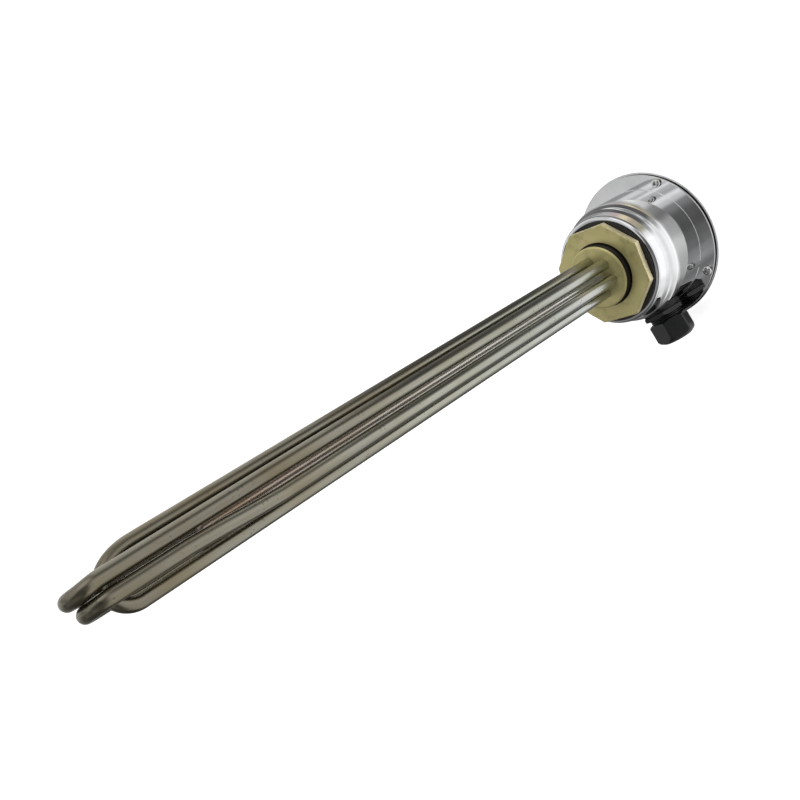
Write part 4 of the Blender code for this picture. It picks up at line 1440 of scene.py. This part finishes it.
@dataclass
class HiddenFittings:
    """The CAD solids inside the housing, which keep their shape and get a finish."""

    finishes: dict[str, Finish] = field(
        default_factory=lambda: {
            "insulator": CERAMIC,
            "stud_nut": ZINC,
            "stud": ZINC,
            "link": BRIGHT_BRASS,
            "clamp_nut": BRIGHT_BRASS,
            "clamp_washer": ZINC,
            "earth": ZINC,
            "thermostat_case": CASE_PLASTIC,
            "thermostat_dial": CASE_PLASTIC,
            "thermostat_stem": BRIGHT_BRASS,
            "thermostat_screw": ZINC,
            "gland_lock_nut": GLAND_BLACK,
        }
    )

    def dress(self) -> None:
        """Gives each of these nodes its finish."""
        for name, node in sorted(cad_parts.items()):
            matches = [start for start in self.finishes if name.startswith(start)]
            if not matches:
                continue
            finish = self.finishes[max(matches, key=len)]
            node.data.materials.clear()
            node.data.materials.append(finish.material())
            report.info("%s: kept from the frame, %s", name, finish.slot)


# Studio


# Painted reflections: tones by direction for the glowing sheets that only mirror rays see, dark, bright and
# tan where the metal's reflections are wanted.
Tones = tuple[tuple[float, float | Colour], ...]

BY_THE_FLANGE: Tones = (
    (-180, 0.5), (-169, 0.45), (-157, 0.52), (-146, 0.48), (-100, 0.25), (-60, 0.1), (-11, 0.03),
    (13, 0.05), (26, 0.22), (37, 0.41), (51, 0.48), (77, 0.66), (90, 0.46), (103, 0.42), (116, 0.2),
    (129, 0.28), (141, 0.68), (160, 0.9), (170, 0.7), (180, 0.5),
)
BY_THE_LID: Tones = (
    (-180, 0.43), (-162, 0.5), (-149, 0.4), (-136, 0.49), (-100, 0.25), (-60, 0.1), (-40, 0.2), (-18, 0.42),
    (-6, 0.5), (2, 0.5), (7, 0.12), (12, 0.1), (22, 0.17), (35, 0.87), (46, 1.2), (104, 1.2), (117, 0.38),
    (131, (0.38, 0.35, 0.28)), (145, (0.32, 0.29, 0.23)), (159, (0.5, 0.5, 0.42)), (172, 0.44), (180, 0.43),
)
NEAR_FLOOR: Tones = (
    (-180, 0.48), (-163, 0.44), (-148, 0.42), (-132, 0.38), (-117, 0.5), (-80, 0.3), (-50, 0.3),
    (-32, 0.34), (-17, 0.46), (-2, 0.62), (14, 0.8), (29, 0.97), (44, 1.2), (100, 1.2), (108, 0.95),
    (120, (0.41, 0.4, 0.29)), (136, (0.5, 0.43, 0.32)), (151, (0.78, 0.7, 0.5)), (166, (0.55, 0.46, 0.46)),
    (180, 0.48),
)
MIDDLE_FLOOR: Tones = (
    (-180, 0.15), (-120, 0.25), (-60, 0.1), (-20, 0.12), (5, 0.3), (28, 0.85), (48, 1.1), (98, 1.1),
    (116, 0.4), (130, 0.12), (160, 0.1), (180, 0.15),
)
LATE_FLOOR: Tones = (
    (-180, 0.9), (-165, 1.1), (-105, 1.1), (-70, 0.3), (-40, 0.12), (-13, 0.18), (5, 0.9), (110, 1.0),
    (127, 0.3), (145, 0.25), (158, 0.6), (168, 1.2), (180, 0.9),
)
FAR_FLOOR: Tones = (
    (-180, 0.9), (-160, 1.1), (-100, 1.1), (-60, 0.3), (-20, 0.12), (5, 0.85), (110, 0.95), (127, 0.3),
    (140, 0.22), (160, 0.6), (170, 0.9), (180, 0.9),
)
LOW_WALL: Tones = (
    (-180, 0.35), (-150, 0.8), (-90, 0.8), (-60, 0.2), (-35, 0.06), (-8, 0.06), (10, 1.0), (115, 1.0),
    (130, 0.35), (160, 0.3), (180, 0.35),
)
MIDDLE_WALL: Tones = (
    (-180, 0.6), (-150, 0.8), (-90, 0.7), (-60, 0.2), (-35, 0.06), (0, 0.08), (15, 0.9), (110, 0.9),
    (125, 0.4), (140, 0.9), (170, 0.9), (180, 0.6),
)
HIGH_WALL: Tones = (
    (-180, 0.6), (-150, 0.6), (-90, 0.7), (-60, 0.2), (-35, 0.1), (100, 0.15), (120, 0.3), (140, 1.1),
    (170, 1.1), (180, 0.6),
)
SKY: Tones = (
    (-180, 0.6), (-173, 0.95), (-165, 0.6), (-153, 0.9), (-147, 0.9), (-133, 0.38), (-113, 0.34),
    (-100, 0.6), (-93, 0.62), (-89, 0.5), (-85, 0.3), (-80, 0.18), (-60, 0.22), (-40, 0.3), (-9, 0.2),
    (16, 0.35), (30, 0.3), (45, 0.2), (64, 0.155), (87, 0.11), (110, 0.13), (134, 0.28), (145, 0.7),
    (158, 1.0), (167, 0.5), (180, 0.6),
)


@dataclass(frozen=True)
class Change:
    """Where one set of tones gives way to the next, by distance or by height in metres."""

    start: float
    end: float
    tones: Tones


@dataclass(frozen=True)
class ReflectionSheet:
    """A glowing sheet round the heater that only mirror rays see, with a tone for each direction: painted
    reflections.
    """

    name: str
    section: tuple[tuple[float, float], ...]
    tones: Tones
    changes: tuple[Change, ...]
    along: Along = Along.DISTANCE
    centre: tuple[float, float, float] = (0.0, 0.012, 0.0)

    def build(self) -> None:
        """Spins the sheet's section round the heater's axis."""
        work = bmesh.new()
        points = [work.verts.new((radius, 0.0, level)) for radius, level in self.section]
        for first, second in zip(points, points[1:]):
            work.edges.new((first, second))
        spin_whole(work, 96)
        sheet = placed(work, self.name)
        sheet.data.materials.append(self.material())
        sheet.visible_camera = False
        sheet.visible_diffuse = False
        sheet.visible_shadow = False
        sheet.visible_transmission = False

    def material(self) -> bpy.types.Material:
        """A glow whose tone follows the direction and the distance.

        Returns:
            The sheet's material.
        """
        made = bpy.data.materials.new(f"studio_{self.name}")
        made.use_nodes = True
        made.node_tree.nodes.clear()
        bench = Bench(made.node_tree)
        parts = bench.put("SeparateXYZ", {0: bench.place()}).outputs
        heading = bench.span(bench.sum("ARCTAN2", parts["Y"], parts["X"]), -math.pi, math.pi)
        flat = bench.put("CombineXYZ", {"X": parts["X"], "Y": parts["Y"]}).outputs[0]
        reach = bench.put("VectorMath", {0: flat, 1: self.centre}, operation="DISTANCE")
        way = parts["Z"] if self.along is Along.HEIGHT else reach.outputs["Value"]
        colour = self.scale(bench, heading, self.tones)
        for change in self.changes:
            share = bench.span(way, change.start, change.end)
            colour = bench.blend(share, colour, self.scale(bench, heading, change.tones))
        glow = bench.put("Emission", {"Color": colour})
        bench.put("OutputMaterial", {"Surface": glow.outputs[0]})
        return made

    def scale(self, bench: Bench, heading: object, tones: Tones) -> Socket:
        """One set of tones round the full turn.

        Args:
            bench: The material's bench.
            heading: The direction's socket, from 0 to 1.
            tones: Directions in degrees, each with its grey level or its colour.

        Returns:
            The colour's socket.
        """
        stops = [
            ((degrees + 180) / 360, tone if isinstance(tone, tuple) else (tone,) * 3)
            for degrees, tone in tones
        ]
        return bench.ramp(heading, stops)


@dataclass(frozen=True)
class SoftLight:
    """A square soft light that looks at the heater."""

    name: str
    azimuth: float
    elevation: float
    distance: float
    size: float
    watts: float
    target: tuple[float, float, float] = (0.0, 0.0, 0.2)

    def build(self) -> None:
        """Sets the light up."""
        lamp = bpy.data.lights.new(self.name, "AREA")
        lamp.shape = "SQUARE"
        lamp.size = self.size
        lamp.energy = self.watts
        light = bpy.data.objects.new(self.name, lamp)
        bpy.context.scene.collection.objects.link(light)
        across = math.radians(self.azimuth)
        up = math.radians(self.elevation)
        outward = Vector((math.cos(across) * math.cos(up), math.sin(across) * math.cos(up), math.sin(up)))
        light.location = Vector(self.target) + outward * self.distance
        light.rotation_euler = (-outward).to_track_quat("-Z", "Y").to_euler()
        light.visible_glossy = False


@dataclass
class Studio:
    """The pale floor, the lights, the glowing sheets that paint the heater's reflections, and the camera."""

    floor_size: float = 12.0
    floor_colour: Colour = (0.8, 0.8, 0.8)
    floor_glow: float = 0.62
    world_level: float = 0.62
    lens: float = 40.5
    camera_place: tuple[float, float, float] = (-0.0155, 0.4118, 0.6330)
    camera_right: tuple[float, float, float] = (0.5154, 0.5494, -0.6578)
    camera_up: tuple[float, float, float] = (-0.8567, 0.3068, -0.4149)
    lights: tuple[SoftLight, ...] = (
        SoftLight("side_light", 172.0, 32.0, 1.1, 0.9, 5.0, target=(0.0, 0.0, 0.08)),
        SoftLight("back_light", -80.0, 55.0, 2.4, 1.6, 9.0),
    )
    reflection_sheets: tuple[ReflectionSheet, ...] = (
        # Painted reflections: one glowing sheet on the floor, and one as walls and sky.
        ReflectionSheet(
            "painted_reflection_floor",
            ((0.0605, 0.0016), (0.3, 0.0018), (1.0, 0.002), (2.0, 0.003), (3.2, 0.004)),
            BY_THE_FLANGE,
            (
                Change(0.0595, 0.0625, BY_THE_LID),
                Change(0.069, 0.075, NEAR_FLOOR),
                Change(0.092, 0.11, MIDDLE_FLOOR),
                Change(0.4, 0.62, LATE_FLOOR),
                Change(1.05, 1.35, FAR_FLOOR),
            ),
        ),
        ReflectionSheet(
            "painted_reflection_walls",
            ((3.2, 0.004), (3.4, 0.8), (3.3, 1.8), (3.0, 2.7), (2.2, 3.7), (1.2, 4.2), (0.02, 4.4)),
            LOW_WALL,
            (Change(0.45, 0.65, MIDDLE_WALL), Change(1.2, 1.6, HIGH_WALL), Change(2.5, 3.1, SKY)),
            along=Along.HEIGHT,
        ),
    )

    def build(self) -> None:
        """Sets up everything round the heater."""
        self.build_floor()
        self.build_world()
        for light in self.lights:
            light.build()
        for reflection_sheet in self.reflection_sheets:
            reflection_sheet.build()
        self.build_camera()
        bpy.context.scene.view_settings.view_transform = "Standard"

    def shown(self, bench: Bench) -> Socket:
        """1 on rays from the camera, or from a mirror or a glass, and else 0.

        Args:
            bench: The bench of the material or the world.

        Returns:
            The value's socket.
        """
        path = bench.put("LightPath").outputs
        direct = bench.sum("ADD", path["Is Camera Ray"], path["Is Glossy Ray"])
        every = bench.sum("ADD", direct, path["Is Transmission Ray"])
        return bench.sum("MINIMUM", every, 1.0)

    def build_floor(self) -> None:
        """A wide pale floor that shows white and keeps a soft shadow."""
        work = bmesh.new()
        bmesh.ops.create_grid(work, x_segments=8, y_segments=8, size=self.floor_size / 2)
        floor = placed(work, "floor")
        made = bpy.data.materials.new("studio_floor")
        made.use_nodes = True
        bench = Bench(made.node_tree)
        shader = made.node_tree.nodes["Principled BSDF"]
        shader.inputs["Base Color"].default_value = opaque(self.floor_colour)
        shader.inputs["Roughness"].default_value = 0.9
        shader.inputs["Specular IOR Level"].default_value = 0.0
        shader.inputs["Emission Color"].default_value = (1.0, 1.0, 1.0, 1.0)
        glow = bench.sum("MULTIPLY", self.shown(bench), self.floor_glow)
        bench.feed(shader.inputs["Emission Strength"], glow)
        floor.data.materials.append(made)

    def build_world(self) -> None:
        """Even light from all round, and white where the camera looks past the floor."""
        world = bpy.data.worlds.new("studio")
        world.use_nodes = True
        bench = Bench(world.node_tree)
        sky = world.node_tree.nodes["Background"]
        sky.inputs["Color"].default_value = (1.0, 1.0, 1.0, 1.0)
        seen = bench.put("LightPath").outputs["Is Camera Ray"]
        bench.feed(sky.inputs["Strength"], bench.span(seen, 0.0, 1.0, self.world_level, 1.0))
        bpy.context.scene.world = world

    def build_camera(self) -> None:
        """The camera, from where the photograph was taken."""
        right, up = Vector(self.camera_right).normalized(), Vector(self.camera_up)
        back = right.cross(up).normalized()
        up = back.cross(right)
        data = bpy.data.cameras.new("camera")
        data.lens = self.lens
        data.sensor_width = 36.0
        data.clip_start = 0.01
        camera = bpy.data.objects.new("camera", data)
        bpy.context.scene.collection.objects.link(camera)
        turned = Matrix((right, up, back)).transposed().to_4x4()
        camera.matrix_world = Matrix.Translation(self.camera_place) @ turned
        bpy.context.scene.camera = camera


def main() -> None:
    """Builds the heater's pieces in order, then the studio."""
    logging.basicConfig(level=logging.INFO, format="%(name)s: %(message)s")
    ElementBundle().build()
    BrassPlug().build()
    TerminalHousing().build()
    LidWithScrews().build()
    CableGland().build()
    HiddenFittings().dress()
    Studio().build()


if __name__ == "__main__":
    main()
